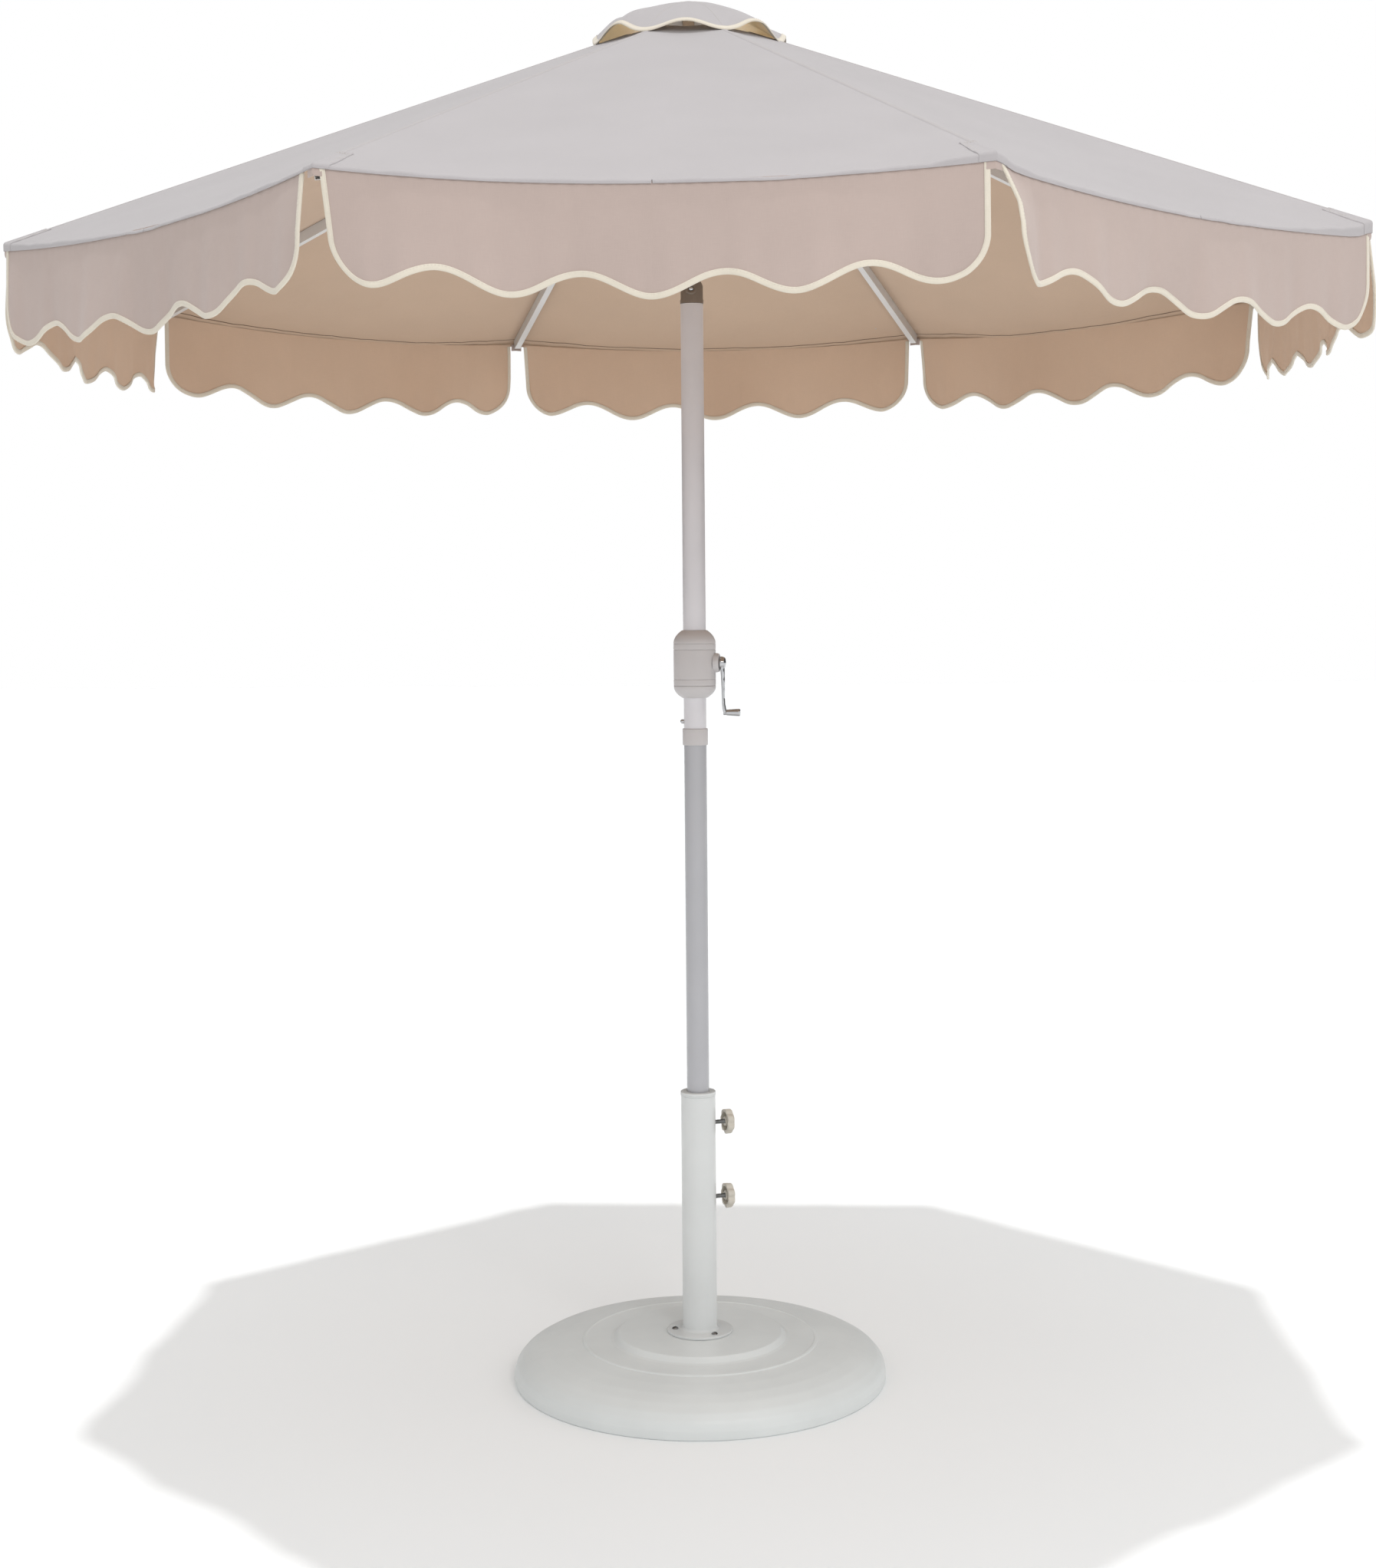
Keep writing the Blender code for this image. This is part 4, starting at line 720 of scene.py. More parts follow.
def tilt_pieces():
    top = TILT_Z + TILT_R
    body = [
        (0.0, TILT_LOW_Z - 0.03), (0.0174, TILT_LOW_Z - 0.03, 0.0006), (0.0174, TILT_LOW_Z, 0.0003),
        (TILT_R, TILT_LOW_Z, 0.0008), (TILT_R, top), (0.0, top),
    ]
    sleeve = lathe("tilt_fork", body, TAUPE, 96)
    outline = arc(TILT_R, math.pi, 0.0, 48, TILT_Z)
    outline += [(0.03, TILT_Z), (0.03, top + 0.01), (-0.03, top + 0.01), (-0.03, TILT_Z)]
    slot = block((-0.05, -0.007, TILT_Z - 0.0165), (0.05, 0.007, TILT_Z + 0.05))
    pin_hole = rod(PIN_HOLE_R, (0, -0.014, TILT_Z), (0, 0.03, TILT_Z))
    button_hole = rod(0.0042, (0, -0.03, TILT_Z), (0, -0.0121, TILT_Z))
    carve(sleeve, cuts=[slot, prism(outline, -0.05, 0.05), pin_hole, button_hole])
    stands_for(sleeve, "pole", "tilt_sleeve", "tilt_sleeve")

    rings = [(0.44, 0.019), (0.44, 0.0204), (0.52, 0.0209), (0.9, 0.0209), (1.0, 0.0203), (1.0, 0.019)]
    steps = 96
    verts = []
    for share, radius in rings:
        for i in range(steps):
            a = 2.0 * math.pi * i / steps
            reach = teardrop(a) * share if share > 0.5 else 0.0042
            x, z = reach * math.cos(a), reach * math.sin(a)
            verts.append((radius * math.sin(x / TILT_R), -radius * math.cos(x / TILT_R), TILT_Z + z))
    faces = tube_faces(len(rings), steps, closed=True)
    attach(piece("button_escutcheon", verts, faces, [TAUPE], sharp=40.0), "pole")

    pin = [(0.0, -0.0194), (0.0028, -0.0194, 0.0005), (0.0028, 0.0119), (0.0, 0.0119)]
    toward = Matrix.Translation((0, 0, TILT_Z)) @ Matrix.Rotation(math.radians(90), 4, "X")
    stands_for(lathe("tilt_pivot_pin", pin, STEEL, 48, toward), "pole", "tilt_pin", "tilt_pin")
    button = [(0.0, 0.0136), (0.0037, 0.0136), (0.0037, 0.0206), *arc(0.0037, 0.15, 1.45, 10, 0.0206, 0.0026)]
    made = lathe("tilt_push_button", button + [(0.0, 0.0232)], CHROME, 48, toward)
    stands_for(made, "tilt_catch", "chrome", "tilt_button")

    low = TILT_Z + 0.0206
    mast = [
        (POLE_R, low, 0.0006), (POLE_R, HUB_Z + 0.012, 0.0004), (BORE_R, HUB_Z + 0.012, 0.0004),
        (BORE_R, low + 0.03), (0.0, low + 0.03), (0.0, low),
    ]
    pole = lathe("pole_upper", mast, POLE_GREY)
    outline = arc(0.015, math.pi, 2 * math.pi, 36, TILT_Z)
    outline += [(0.015, TILT_Z + 0.025), (-0.015, TILT_Z + 0.025)]
    pin_hole = rod(PIN_HOLE_R, (0, -0.05, TILT_Z), (0, 0.05, TILT_Z))
    carve(pole, joins=[prism(outline, -0.0067, 0.0067, [POLE_GREY])], cuts=[pin_hole])
    stands_for(pole, "canopy_mast", "poles", "upper_pole")


# ------------ CAD nodes that stay
def kept_nodes():
    """The crown, runner, ribs, struts and ballast keep their CAD shape, with softened edges."""
    finish = {"hub": HUB_CAP_TAN, "hub_cap": HUB_CAP_TAN, "runner": BLACK_PLASTIC, "base_ballast": CONCRETE}
    soften = {"hub": 0.0004, "hub_cap": 0.0006, "runner": 0.0005}
    for i in range(1, SIDES + 1):
        finish[f"rib_{i}"] = FRAME_PAINT
        finish[f"strut_{i}"] = FRAME_PAINT
        soften[f"rib_{i}"] = 0.0005
        soften[f"strut_{i}"] = 0.0004
    for name, made in finish.items():
        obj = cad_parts[name]
        obj.data.materials.clear()
        obj.data.materials.append(made)
        if name in soften:
            modifier = obj.modifiers.new("soften", "BEVEL")
            modifier.width = soften[name]
            modifier.segments = 2
            modifier.limit_method = "ANGLE"
            modifier.angle_limit = math.radians(30)
            modifier.use_clamp_overlap = True
            modifier.harden_normals = True


# ------------ canopy surface
ROLL_R = 0.003
ROLL_START = RIB_SLOPE
SKIRT_R = RIM_R - ROLL_R + ROLL_R * (1.0 - math.sin(ROLL_START))
HEM_FROM = 1.0875
SEAM_BAND = 0.0042
GORE_ROWS = [HOLE_R + (HEM_FROM - HOLE_R) * (i / 44) for i in range(45)]
GORE_ROWS += [HEM_FROM + 0.0003, 1.0905, 1.094, RIM_R - ROLL_R]
# The underside row that takes the dark hem colour, a line of painted shade along the rim.
HEM_SHADE_ROW = 46
POCKET_FROM = 1.039
POCKET_TO = 1.088
POCKET_ROWS = [POCKET_FROM, 1.0393, 1.043, 1.047, 1.052, 1.06, 1.068, 1.076, 1.084, 1.091]
POCKET_ROWS += [RIM_R - ROLL_R]
POCKET_COLUMNS = [0.0, 0.0022, 0.0044, 0.006, 0.0085, 0.011, 0.013, 0.015, 0.017, 0.0185]
POCKET_COLUMNS += [0.02, 0.0212, 0.0215]


def smooth(x, low, high):
    t = min(1.0, max(0.0, (x - low) / (high - low)))
    return t * t * (3.0 - 2.0 * t)


def bell(x, middle, width):
    return math.exp(-(((x - middle) / width) ** 2))


def wave(x, length, phase):
    return math.sin(x * 2 * math.pi / length + phase)


def tight(reach):
    """Height of the cloth's underside over a rib, at this distance from the axis."""
    return HUB_Z + 0.0108 / math.cos(RIB_SLOPE) - math.tan(RIB_SLOPE) * (reach - PIVOT_R)


def sag(reach, share):
    """Sag between ribs; share is 0 over the rib and 1 half-way to the next one."""
    return RIM_SAG * (reach / RIM_R) ** 2 * (1.0 - (1.0 - share) ** 2)


def panel_beside(index, side):
    """The panel on this side of a rib; the first panel lies between ribs 1 and 2."""
    return index if side > 0 else (index - 1) % SIDES


def sunk(panel, share):
    """How much lower this panel's rim hangs than its neighbours', from nothing at the rib's tip."""
    return SINKS.get(panel, 0.0) * smooth(share, 0.0, 0.11)


def seam_height(share, droop=0.0, sink=0.0):
    """Height of the seam between canopy and valance, with how much lower it starts at this rib."""
    return SEAM_Z - droop * (1.0 - share) ** 2 - SEAM_SAG * (1.0 - (1.0 - share) ** 2) - sink


def cloth_relief(world, reach, d):
    """Tension folds and puckers of the sewn cloth, zero along the ribs' top line."""
    length = reach * math.sin(HALF)
    free = smooth(d, 0.004, 0.06) * (1.0 - smooth(reach, 0.97, 1.04) * (1.0 - smooth(d, 0.04, 0.1)))
    billow = 0.0048 * noise.noise(Vector((world.x * 2.6, world.y * 2.6, 3.1))) * free
    broad = 0.0022 * noise.noise(Vector((world.x * 9.0, world.y * 9.0, 7.7))) * free
    pucker = 0.00045 * math.sin(reach * 2.0 * math.pi / 0.031 + 2.0 * math.sin(reach * 17.0))
    pucker *= bell(d, 0.01, 0.012) * smooth(d, 0.004, 0.01)
    to_tip = math.hypot(RIM_R - reach, d)
    bearing = math.atan2(d, max(1e-6, RIM_R - reach))
    fan = 0.0016 * math.sin(bearing * 15.0) * math.exp(-to_tip / 0.1) * smooth(to_tip, 0.04, 0.09)
    fan *= smooth(d, 0.004, 0.03)
    rim = 0.0008 * wave(d, 0.052, 1.3 * math.sin(d * 23)) * smooth(reach, RIM_R - 0.05, RIM_R)
    rim *= smooth(d, 0.03, 0.08)
    crease = -0.003 * bell(bearing, 0.62, 0.1) * math.exp(-to_tip / 0.16) * smooth(to_tip, 0.05, 0.11)
    return billow + broad + (crease + pucker + fan + rim) * smooth(length - d, 0.0, 0.05)


def columns_for(reach, count=17):
    """Distances from the rib along the ring, the same number at every ring: fixed at the seam, then even."""
    length = reach * math.sin(HALF)
    fixed = [0.0, 0.0021, SEAM_BAND - 0.0002, SEAM_BAND + 0.0003, 0.0068, 0.0105, 0.017, 0.025, 0.0345]
    return fixed + [fixed[-1] + (length - fixed[-1]) * (i / count) for i in range(1, count + 1)]


def mirrored(distances):
    """The same distances on both sides of a rib, negative on its left."""
    return [-d for d in distances[:0:-1]] + distances


def roof_point(angle, side, reach, d, lift=0.0, top_face=True):
    """A point of the cloth, reach along the rib and d sideways, lift above the frame's surface."""
    share = min(1.0, d / (reach * math.sin(HALF)))
    across = Vector((reach - d * math.sin(HALF), side * d * math.cos(HALF), 0.0))
    world = Matrix.Rotation(angle, 3, "Z") @ across
    panel = panel_beside(RIB_ANGLES.index(angle), side)
    z = tight(reach) - sag(reach, share) - sunk(panel, share) * (reach / RIM_R) ** 5
    z += cloth_relief(world, reach, d) + lift
    if top_face and d <= SEAM_BAND:
        z += 0.0007
    return Vector((world.x, world.y, z))


def roll_over(rows, index, thick):
    """Adds rows of points that take the cloth down over the rim."""
    angle = RIB_ANGLES[index]
    outward = Vector((math.cos(angle), math.sin(angle), 0.0))
    radius = ROLL_R + thick
    last = rows[-1]
    for i in range(1, 7):
        a = ROLL_START + (math.pi / 2 - ROLL_START) * i / 6
        out = outward * (radius * (math.sin(a) - math.sin(ROLL_START)))
        drop = Vector((0.0, 0.0, radius * (math.cos(ROLL_START) - math.cos(a))))
        rows.append([p + out - drop for p in last])


def side_grid(index, side, thick, top_face):
    """Half a gore as rows of points from the hole to the seam below the rim, on one face of the cloth."""
    rows = []
    for reach in GORE_ROWS:
        lift = thick
        if not top_face and reach > HEM_FROM:
            lift -= 0.0007
        row = [roof_point(RIB_ANGLES[index], side, reach, d, lift, top_face) for d in columns_for(reach)]
        rows.append(row)
    roll_over(rows, index, thick if top_face else -0.0007)
    bottom = rows[-1]
    length = GORE_ROWS[-1] * math.sin(HALF)
    for step in (0.35, 0.7, 1.0):
        row = []
        for p, d in zip(bottom, columns_for(GORE_ROWS[-1])):
            share = min(1.0, d / length)
            goal = seam_height(share, DROOPS[index], sunk(panel_beside(index, side), share))
            row.append(Vector((p.x, p.y, p.z + (min(goal, p.z - 0.0008) - p.z) * step)))
        rows.append(row)
    return rows


def gore_grid(index, top_face):
    """Points and UVs of a whole gore on one face of the cloth."""
    thick = CLOTH if top_face else 0.0
    left = side_grid(index, -1, thick, top_face)
    right = side_grid(index, 1, thick, top_face)
    rows = [l[:0:-1] + r for l, r in zip(left, right)]
    uvs = []
    run = 0.0
    middle = len(rows[0]) // 2
    for r, row in enumerate(rows):
        if r:
            run += (row[middle] - rows[r - 1][middle]).length
        across = columns_for(GORE_ROWS[min(r, len(GORE_ROWS) - 1)])
        uvs.append([(d, run) for d in mirrored(across)])
    return as_grid(rows), np.array(uvs)


def part_way(at, along, points):
    return np.array([np.interp(at, along, points[:, k]) for k in range(3)])


def stitch_mesh(name, runs, pitch=0.004, length=0.0029, thick=0.00032):
    """Sewing stitches along runs of (point, upwards) pairs, each stitch a slim double cone."""
    verts, faces, uvs = [], [], []
    for run in runs:
        points, ups = as_grid(zip(*run))
        along = np.concatenate([[0.0], np.cumsum(np.linalg.norm(np.diff(points, axis=0), axis=1))])
        count = int(along[-1] / pitch)
        for i in range(count):
            at = (i + 0.5) * along[-1] / count
            middle = part_way(at, along, points)
            up = part_way(at, along, ups)
            forward = part_way(at + 0.001, along, points) - part_way(at - 0.001, along, points)
            forward /= max(1e-9, np.linalg.norm(forward))
            across = np.cross(forward, up)
            across /= max(1e-9, np.linalg.norm(across))
            up = np.cross(across, forward)
            first = len(verts)
            for shift in (-0.5, 0.5):
                verts.append(tuple(middle + forward * (length * shift) + up * (-0.3 * thick)))
            for a in range(5):
                turn = 2.0 * math.pi * a / 5
                ring = across * (thick * math.cos(turn)) + up * (thick * (0.35 + math.sin(turn)))
                verts.append(tuple(middle + ring))
            for a in range(5):
                b = (a + 1) % 5
                faces.append([first, first + 2 + b, first + 2 + a])
                faces.append([first + 1, first + 2 + a, first + 2 + b])
            uvs += [(at, 0.0)] * 7
    return piece(name, verts, faces, [THREAD], uvs=uvs, sharp=None)


def squash_gore(obj):
    """Gives a piece of the canopy its own copy of its mesh."""
    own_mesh(obj)


def gore_pieces():
    """Eight gores that meet half-way between the ribs, so that the canopy is one curved sheet."""
    gores = []
    for index, angle in enumerate(RIB_ANGLES):
        number = index + 1
        outer, uv = gore_grid(index, True)
        inner, _ = gore_grid(index, False)
        verts, faces, sides = slab(outer, inner)
        rows, cols = outer.shape[:2]
        slots = []
        for face, side in zip(faces, sides):
            # The hem row on the underside gets the dark colour: hem tape and painted shade.
            hem_and_shade = side == 1 and face[0] % (rows * cols) // cols == HEM_SHADE_ROW
            slots.append(2 if hem_and_shade else 1 if side == 1 else 0)
        uvs = np.concatenate([uv.reshape(-1, 2), uv.reshape(-1, 2)])
        cloths = [TOP_CLOTH_SHEEN, UNDER_CLOTH_GLOW, HEM_SHADE_CLOTH]
        gore = piece(f"canopy_panel_{number}", verts, faces, cloths, slots, uvs, 50.0)
        stands_for(gore, f"rib_body_{number}", "canopy", f"canopy_gore_{number}")

        seam = np.linspace(HOLE_R + 0.012, 1.038, 120)
        runs = [[(roof_point(angle, side, r, 0.0031, CLOTH + 0.0001), UP) for r in seam] for side in (-1, 1)]
        stitches = stitch_mesh(f"rib_seam_stitches_{number}", runs)
        attach(stitches, f"rib_body_{number}")
        gores.append((gore, stitches))
    return gores


def pocket_width(reach):
    """Share of a pocket's full width at this distance from the axis."""
    return 0.82 + 0.18 * smooth(reach, POCKET_FROM, 1.085)


def pocket_face(index, lift, relief):
    """One face of a pocket as rows of points; relief is 1 for the outer face's gathers and thin edge."""
    angle = RIB_ANGLES[index]
    rows = []
    for r, reach in enumerate(POCKET_ROWS):
        row = []
        for s in mirrored(POCKET_COLUMNS):
            d = abs(s) * pocket_width(reach)
            gather = 0.0006 * smooth(d, 0.011, 0.017) * (0.5 + 0.5 * wave(reach, 0.0125, index))
            edge = 0.0 if r > 0 and abs(s) < POCKET_COLUMNS[-1] else -0.0008
            height = CLOTH + lift + relief * (gather + edge)
            row.append(roof_point(angle, -1 if s < 0 else 1, reach, d, height))
        rows.append(row)
    roll_over(rows, index, CLOTH + lift)
    bottom = rows[-1]
    for step in (0.5, 1.0):
        row = []
        for p, s in zip(bottom, mirrored(POCKET_COLUMNS)):
            share = abs(s) / HALF_RIM
            goal = seam_height(share, DROOPS[index], sunk(panel_beside(index, s), share)) + 0.0003
            row.append(Vector((p.x, p.y, p.z + (goal - p.z) * step)))
        rows.append(row)
    return as_grid(rows)


def pocket_pieces():
    """The reinforcing patch over each rib's tip, which wraps down over the rim, with two rows of stitches."""
    made = []
    for index, angle in enumerate(RIB_ANGLES):
        number = index + 1
        outer = pocket_face(index, 0.0012, 1)
        verts, faces, _ = slab(outer, pocket_face(index, 0.0002, 0))
        flat = [(s, r * 0.006) for r in range(outer.shape[0]) for s in mirrored(POCKET_COLUMNS)]
        patch = piece(f"tip_pocket_{number}", verts, faces, [TOP_CLOTH_SHEEN], uvs=flat + flat, sharp=50.0)
        runs = []
        for inset in (0.003, 0.0062):
            top = POCKET_FROM + inset
            wide = 0.0212 - inset
            run = [(-1, POCKET_TO - (POCKET_TO - top) * i / 24, wide) for i in range(25)]
            for i in range(1, 40):
                share = -1 + 2 * i / 40
                run.append((1 if share > 0 else -1, top, abs(share) * wide))
            run += [(1, top + (POCKET_TO - top) * i / 24, wide) for i in range(25)]
            points = []
            for side, reach, d in run:
                points.append((roof_point(angle, side, reach, d * pocket_width(reach), CLOTH + 0.0014), UP))
            runs.append(points)
        stitches = stitch_mesh(f"pocket_stitches_{number}", runs, 0.0035, 0.0026)
        for obj in (patch, stitches):
            attach(obj, f"rib_body_{number}")
        made.append((patch, stitches))
    return made


# ------------ valance
# Per panel (the first lies between ribs 1 and 2) and side: gap to the rib's tip, outward flare, inward
# lean, and how soon on the way down the lean is complete.
FLAP_ENDS = {
    (7, -1): (0.009, -0.004, 0.014, 1.0),
    (7, 1): (0.008, 0.0, -0.002, 1.0),
    (6, 1): (0.024, 0.006, 0.0, 1.0),
    (6, -1): (0.006, 0.002, -0.004, 1.0),
    (0, -1): (0.012, 0.012, 0.02, 3.2),
    (0, 1): (0.006, 0.002, -0.002, 1.0),
    (2, 1): (0.015, 0.006, 0.004, 1.0),
    (3, -1): (0.015, -0.005, 0.004, 1.0),
    (3, 1): (0.018, 0.008, 0.006, 1.0),
    (4, -1): (0.018, -0.006, 0.004, 1.0),
}


def flap_end(panel, side):
    """How far a flap's half reaches from the middle of its panel, and how its end flares and leans."""
    usual = (SLIT, 0.007 * math.sin(2.9 * panel + side), 0.003, 1.0)
    gap, flare, lean, haste = FLAP_ENDS.get((panel, side), usual)
    return HALF_RIM - gap, flare, lean, haste


def flap_drop(distance, reach, lowest):
    """How far a flap hangs below the seam, at this distance along the rim from the middle of a panel."""
    low = lowest - SCALLOP * (0.5 - 0.5 * math.cos(2.0 * math.pi * distance / LOBE_PITCH))
    to_side = reach - distance
    if to_side < CORNER_R:
        corner = lowest - CORNER_R + math.sqrt(max(0.0, CORNER_R**2 - (CORNER_R - to_side) ** 2))
        low = min(low, corner)
    return low


def panel_axes(panel):
    """The directions outwards from the middle of a panel and along its rim."""
    middle = RIB_ANGLES[panel] + HALF
    along = Vector((-math.sin(middle), math.cos(middle), 0.0))
    return Vector((math.cos(middle), math.sin(middle), 0.0)), along


def flap_point(panel, w, h):
    """A point on a panel's flap: w along the rim from the middle of the panel, h below the seam."""
    outward, along = panel_axes(panel)
    side = -1 if w < 0 else 1
    reach, flare, lean, haste = flap_end(panel, side)
    droop = DROOPS[panel] if w < 0 else DROOPS[(panel + 1) % SIDES]
    share = 1.0 - min(1.0, abs(w) / HALF_RIM)
    fall = max(0.0, h) / VALANCE_LOW
    phase = 1.7 * panel
    slow = 0.0075 * wave(w, 0.44, phase) + 0.004 * wave(w, 0.255, 2.3 * phase)
    quick = 0.0014 * wave(w, 0.083, 3.1 * phase) + 0.0009 * wave(w, 0.047, phase)
    ends = smooth(abs(w), reach - 0.085, reach)
    curl = flare * ends**1.3 * min(1.0, 2.0 * fall) ** 0.8
    gather = 0.0005 * wave(w, 0.019, 2 * math.sin(w * 31)) * math.exp(-fall / 0.12)
    push = slow * fall**1.4 + quick * fall**0.9 + curl + gather + 0.004 * fall
    inward = lean * ends * min(1.0, fall * haste) * side
    at = outward * (SKIRT_R * math.cos(HALF) - 0.0015 + push) + along * (w - inward)
    z = seam_height(share, droop, sunk(panel, share)) - h * (1.0 - 0.012 * ends * fall)
    return Vector((at.x, at.y, z))


def flap_skin(panel, w, h, out):
    """A point of the flap moved outwards from its outer face, and the face's normal there."""
    step = 0.0015
    a = flap_point(panel, w + step, h) - flap_point(panel, w - step, h)
    b = flap_point(panel, w, h + step) - flap_point(panel, w, h - step)
    normal = b.cross(a).normalized()
    return flap_point(panel, w, h) + normal * out, normal


def half_flap(panel, side, label):
    """The cloth of half a flap, from just above the seam down to its scalloped edge."""
    half = flap_end(panel, side)[0]
    lowest = VALANCE_LOW - SINKS.get(panel, 0.0)
    distances = [half * (i / 62) for i in range(57)]
    distances += [half - d for d in (0.034, 0.027, 0.02, 0.014, 0.009, 0.005, 0.002, 0.0)]
    distances = sorted(set(round(d, 6) for d in distances))
    outer, inner, flat = [], [], []
    for level in [-1.0] + [i / 16 for i in range(17)]:
        spots = []
        for d in distances:
            h = -0.004 if level < 0 else level * (flap_drop(d, half, lowest) - 0.0004)
            spots.append((side * d, h))
        outer.append([flap_point(panel, w, h) for w, h in spots])
        inner.append([flap_skin(panel, w, h, -CLOTH)[0] for w, h in spots])
        flat += spots
    verts, faces, sides = slab(as_grid(outer), as_grid(inner))
    slots = [1 if s == 1 else 0 for s in sides]
    cloths = [FLAP_CLOTH, LINING_CLOTH_GLOW]
    return piece(f"valance_flap_{label}", verts, faces, cloths, slots, flat + flat, 60.0)


def flap_outline(panel, side):
    """The free edge of half a flap as (distance, drop) points, from its middle to the seam."""
    half = flap_end(panel, side)[0]
    lowest = VALANCE_LOW - SINKS.get(panel, 0.0)
    corner = lowest - CORNER_R
    outline = [(d, flap_drop(d, half, lowest)) for d in np.linspace(0.0, half - CORNER_R, 70)]
    for a in np.linspace(0.0, math.pi / 2, 40)[1:]:
        d = half - CORNER_R + CORNER_R * math.sin(a)
        outline.append((d, min(flap_drop(d, half, lowest), corner + CORNER_R * math.cos(a))))
    outline += [(half, h) for h in np.linspace(corner, 0.0, 22)[1:]]
    return [Vector(p) for p in outline]


def bound(name, band, band_uv, around):
    """A strip of binding tape from rings of points."""
    return piece(name, band, tube_faces(len(band) // around, around), [BINDING], uvs=band_uv, sharp=60.0)


def flap_edging(panel, side, label):
    """The tape round a flap's free edge, with a row of stitches on each face."""
    path = flap_outline(panel, side)
    wide, proud = 0.0068, 0.0009
    section = [(wide, proud), (wide - 0.0006, proud + 0.0003), (0.0004, proud + 0.0002)]
    section += [(-0.0007, proud * 0.4), (-0.0009, -CLOTH / 2), (-0.0007, -CLOTH - proud * 0.4)]
    section += [(0.0004, -CLOTH - proud - 0.0002), (wide - 0.0006, -CLOTH - proud - 0.0003)]
    section += [(wide, -CLOTH - proud), (wide, -CLOTH / 2)]
    band, band_uv, seam_out, seam_in = [], [], [], []
    run = 0.0
    for i, p in enumerate(path):
        tangent = (path[min(i + 1, len(path) - 1)] - path[max(i - 1, 0)]).normalized()
        if i == 0:
            tangent = Vector((1.0, 0.0))
        else:
            run += (p - path[i - 1]).length
        into = Vector((tangent.y, -tangent.x))
        for k, (reach, out) in enumerate(section):
            q = p + into * reach
            band.append(flap_skin(panel, side * q.x, q.y, out)[0])
            band_uv.append((run, k * 0.0015))
        q = p + into * (wide - 0.0014)
        for seam, out in ((seam_out, proud + 0.0004), (seam_in, -CLOTH - proud - 0.0004)):
            point, normal = flap_skin(panel, side * q.x, q.y, out)
            seam.append((point, normal if out > 0 else -normal))
    binding = bound(f"valance_binding_{label}", band, band_uv, len(section))
    return binding, stitch_mesh(f"binding_stitches_{label}", [seam_out, seam_in], 0.0045, 0.003)


def valance_pieces():
    """Each flap is two halves that meet in the middle of a panel, one on either rib's tip."""
    made = []
    for panel in range(SIDES):
        for side in (-1, 1):
            index = panel if side < 0 else (panel + 1) % SIDES
            label = f"{index + 1}_{'right' if side < 0 else 'left'}"
            flap = half_flap(panel, side, label)
            binding, stitches = flap_edging(panel, side, label)
            made.append((flap, binding, stitches, index, side))
    return made


def tip_bands():
    """The hem strip across each rib's tip, between the slits of two flaps."""
    made = []
    shares = mirrored([0.0, 0.08, 0.25, 0.5, 0.75, 1])
    for index, angle in enumerate(RIB_ANGLES):
        outer, inner, flat = [], [], []
        for h in (-0.004, -0.001, 0.002, 0.0045, 0.0065, 0.008, 0.009):
            row_out, row_in = [], []
            for share in shares:
                d = abs(share) * (SLIT + 0.0012)
                outward, along = panel_axes(panel_beside(index, share))
                rim = SKIRT_R * math.cos(HALF) - 0.001
                at = outward * rim + along * math.copysign(HALF_RIM - d, -share)
                if share == 0:
                    outward = Vector((math.cos(angle), math.sin(angle), 0.0))
                    at = outward * (SKIRT_R - 0.0011)
                crease = 0.0006 * math.sin(h * 420) * (1 - abs(share))
                p = Vector((at.x, at.y, seam_height(d / HALF_RIM, DROOPS[index]) - h)) + outward * crease
                row_out.append(p + outward * 0.0006)
                row_in.append(p - outward * 0.0012)
                flat.append((share * SLIT, h))
            outer.append(row_out)
            inner.append(row_in)
        verts, faces, _ = slab(as_grid(outer), as_grid(inner))
        made.append(piece(f"tip_band_{index + 1}", verts, faces, [FLAP_CLOTH], uvs=flat + flat, sharp=60.0))
    return made


def squash_flap(obj):
    """Gives half a flap its own copy of its mesh."""
    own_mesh(obj)


# ------------ vent cap
# Swells of the cap: height, direction in degrees, width in radians, share of the radius and its width.
# Its folds run down to the rim and have the first three of these.
CAP_SWELLS = ((0.0125, 186, 0.62, 0.76, 0.17), (-0.0055, 0, 0.62, 0.62, 0.22))
CAP_SWELLS += ((-0.0045, 184, 0.5, 0.46, 0.14),)
CAP_FOLDS = ((0.0028, -38, 0.1), (-0.002, -24, 0.09))


def cap_height(share, theta, offset):
    """Height of the small top canopy's outer face, with its slack folds."""
    rim = tight(CAP_R) + 2 * CLOTH + 0.0008
    lift = 1.0 + 0.55 * smooth(1.0 + math.sin(theta), 0.045, 0.27)
    arch = CAP_ARCH * lift * (0.5 - 0.5 * math.cos(math.pi * abs(offset) / HALF)) * share**2
    slack = 0.0028 * noise.noise(Vector((2.2 * math.cos(theta), 2.2 * math.sin(theta), 1.5 * share + 4.0)))
    slack *= smooth(share, 0.1, 0.5) * smooth(1.06 - share, 0.0, 0.3)
    height = CAP_TOP_Z - (CAP_TOP_Z - rim) * share**1.65 + arch + slack
    for rise, toward, wide, at, deep in CAP_SWELLS:
        height += rise * bell(theta, math.radians(toward), wide) * bell(share, at, deep)
    for rise, toward, wide in CAP_FOLDS:
        height += rise * bell(theta, math.radians(toward), wide) * smooth(share, 0.25, 0.7)
    return height


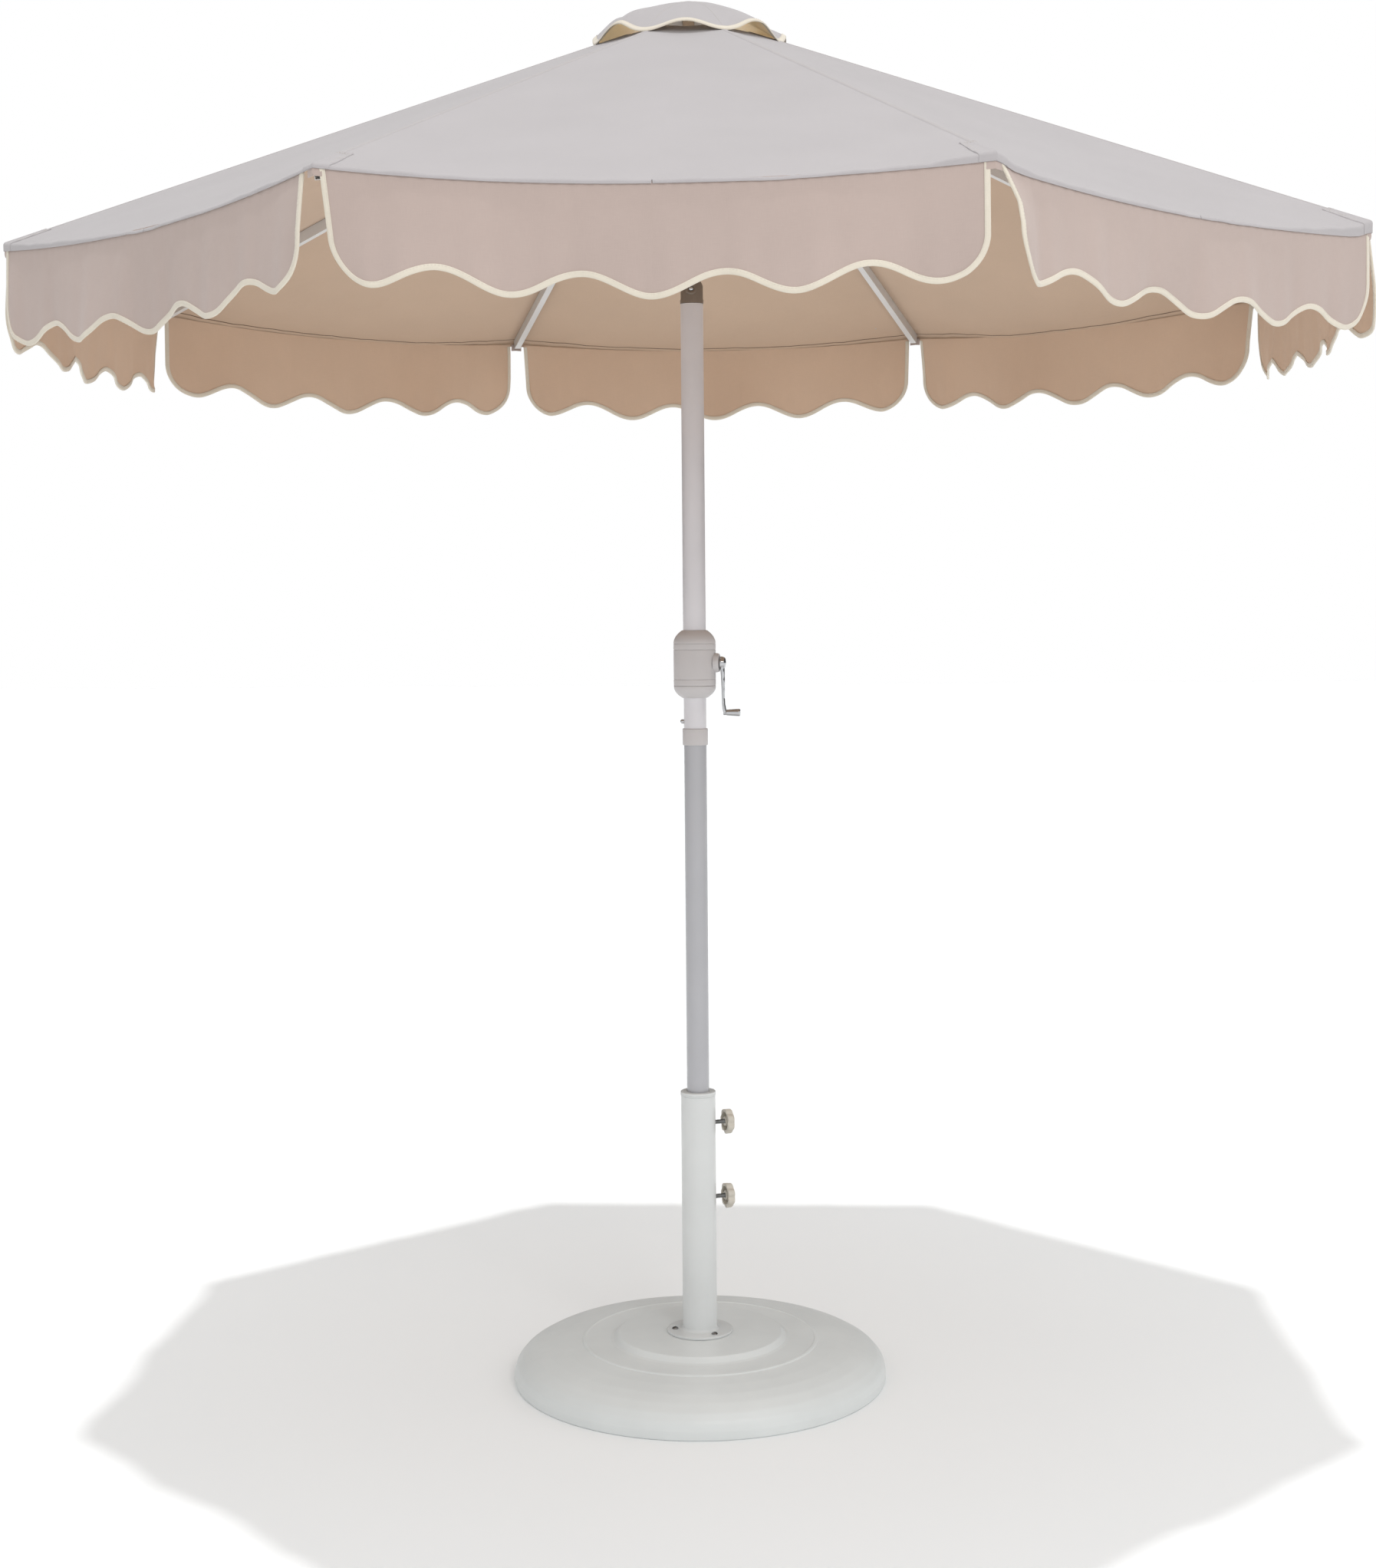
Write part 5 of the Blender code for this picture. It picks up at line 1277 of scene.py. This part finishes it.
def cap_point(index, offset, share, lift=0.0):
    theta = RIB_ANGLES[index] + offset
    wrapped = math.atan2(math.sin(theta), math.cos(theta))
    if wrapped < math.radians(-100):
        wrapped += 2 * math.pi
    reach = share * CAP_R * (1.0 - 0.03 * (abs(offset) / HALF) * share)
    height = cap_height(share, wrapped, offset)
    return Vector((reach * math.cos(theta), reach * math.sin(theta), height + lift))


def cap_pieces():
    """Eight sectors that bend between the mast and the ribs, with a bound rim."""
    shares = [0.0, 0.04, 0.08, 0.13, 0.19] + [0.25 + 0.75 * i / 24 for i in range(25)]
    offsets = [HALF * (-1 + i / 10) for i in range(21)]
    fine = [HALF * (-1 + i / 24) for i in range(49)]
    section = [(-0.0066, 0.0009), (-0.006, 0.0012), (-0.0003, 0.0011), (0.0008, 0.0004), (0.0009, -0.0006)]
    section += [(0.0008, -0.0016), (-0.0003, -0.0023), (-0.006, -0.0024), (-0.0066, -0.0021)]
    section += [(-0.0066, -0.0006)]
    flat = [(o * s * CAP_R, s * 0.18) for s in shares for o in offsets]
    band_uv = [(i * 0.0027, k * 0.0015) for i in range(len(fine)) for k in range(len(section))]
    for index, angle in enumerate(RIB_ANGLES):
        number = index + 1
        outer = as_grid([cap_point(index, o, s) for o in offsets] for s in shares)
        inner = as_grid([cap_point(index, o, s, -CLOTH) for o in offsets] for s in shares)
        verts, faces, sides = slab(outer, inner)
        slots = [1 if side == 1 else 0 for side in sides]
        cloths = [TOP_CLOTH_SHEEN, VENT_LINING_GLOW]
        cap = piece(f"vent_cap_panel_{number}", verts, faces, cloths, slots, flat + flat, 60.0, 1e-6)
        band = [cap_point(index, o, 1.0 + reach / CAP_R, out) for o in fine for reach, out in section]
        binding = bound(f"vent_cap_binding_{number}", band, band_uv, len(section))
        run = [(cap_point(index, o, 1.0 - 0.0054 / CAP_R, 0.0013), UP) for o in fine]
        ridge = [(cap_point(index, 0.0, 0.12 + 0.82 * i / 30, 0.0002), UP) for i in range(31)]
        stitches = stitch_mesh(f"vent_cap_stitches_{number}", [run, ridge])
        for obj in (cap, binding, stitches):
            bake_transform(obj)
        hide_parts("vent_cap")


def soft_pieces():
    pockets = pocket_pieces()
    bands = tip_bands()
    gores = gore_pieces()
    for index in range(SIDES):
        gore, seam = gores[index]
        patch, patch_seam = pockets[index]
        for obj in (gore, seam, patch, patch_seam):
            squash_gore(obj)
        attach(bands[index], f"valance_body_{index + 1}")
    for flap, binding, stitches, index, side in valance_pieces():
        for obj in (flap, binding, stitches):
            attach(obj, f"valance_body_{index + 1}")
            squash_flap(obj)
        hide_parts(f"valance_{index + 1}")
    cap_pieces()


# ------------ studio and camera
def studio():
    """A white floor, a soft bright surround and two lamps."""
    made, tree, principled, coords = shader("floor")
    white = ramp(tree, noise_at(tree, coords, 0.8), (0.9, 0.915, 0.92), (0.92, 0.935, 0.94))
    dress(tree, principled, white, None, values={"Roughness": 0.9})
    wide = 30
    corners = [(-wide, -wide, 0), (wide, -wide, 0), (wide, wide, 0), (-wide, wide, 0)]
    piece("floor", corners, [[0, 1, 2, 3]], [made])

    world = bpy.data.worlds.new("studio")
    bpy.context.scene.world = world
    world.use_nodes = True
    tree = world.node_tree
    background = tree.nodes["Background"]
    coords = node(tree, "ShaderNodeTexCoord").outputs["Generated"]
    split = node(tree, "ShaderNodeSeparateXYZ", [("Vector", coords)]).outputs
    upper = remap(tree, split["Z"], 0.52, 0.92, -0.1, 1.0)
    front = remap(tree, split["Y"], 0.14, 0.0, -1.0, 1.0)
    right = remap(tree, split["X"], -0.08, 0.08, -1.0, 1.0)
    light = combine(tree, "ADD", combine(tree, "ADD", upper, front), right)
    mirror = remap(tree, split["Y"], 0.95, 0.08, -0.9, 0.2)
    path = node(tree, "ShaderNodeLightPath").outputs
    links = [("Factor", path["Is Glossy Ray"]), ("A", light), ("B", mirror)]
    seen = node(tree, "ShaderNodeMix", links, data_type="FLOAT").outputs["Result"]
    links = [("Factor", path["Is Camera Ray"]), ("A", seen)]
    mixed = node(tree, "ShaderNodeMix", links, data_type="FLOAT", B=1.0).outputs["Result"]
    tree.links.new(mixed, background.inputs["Strength"])
    background.inputs["Color"].default_value = (1.0, 1.0, 1.0, 1.0)

    sun = bpy.data.lights.new("overhead_sun", "SUN")
    sun.energy = 1.05
    sun.angle = math.radians(1.6)
    placed("overhead_sun", sun).rotation_euler = (math.radians(3.0), math.radians(-1.0), 0.0)
    key = bpy.data.lights.new("soft_key", "AREA")
    key.energy = 60.0
    key.size = 2.0
    lamp = placed("soft_key", key)
    lamp.location = (1.8, -4.2, 4.0)
    lamp.rotation_euler = (Vector((0.0, 0.0, 1.2)) - lamp.location).to_track_quat("-Z", "Y").to_euler()


def camera():
    """The camera, aimed slightly down and turned a little round the umbrella."""
    azimuth = math.radians(2.7)
    pitch, roll, yaw = math.radians(-4.72), math.radians(-0.48), math.radians(-0.19)
    forward = Vector((math.sin(yaw), math.cos(yaw), 0.0))
    right = Vector((math.cos(yaw), -math.sin(yaw), 0.0))
    look = forward * math.cos(pitch) + UP * math.sin(pitch)
    above = UP * math.cos(pitch) - forward * math.sin(pitch)
    across = right * math.cos(roll) + above * math.sin(roll)
    above = above * math.cos(roll) - right * math.sin(roll)
    place = Matrix((across, above, -look)).transposed().to_4x4()
    place.translation = Vector((0.0, -3.915, 1.35))
    data = bpy.data.cameras.new("camera")
    data.sensor_width = 36.0
    data.lens = 53.17
    made = placed("camera", data)
    made.matrix_world = Matrix.Rotation(azimuth, 4, "Z") @ place
    bpy.context.scene.camera = made
    bpy.context.scene.view_settings.view_transform = "Standard"


base_pieces()
clamp_pieces()
pole_pieces()
housing_pieces()
crank_pieces()
tilt_pieces()
kept_nodes()
soft_pieces()
studio()
camera()
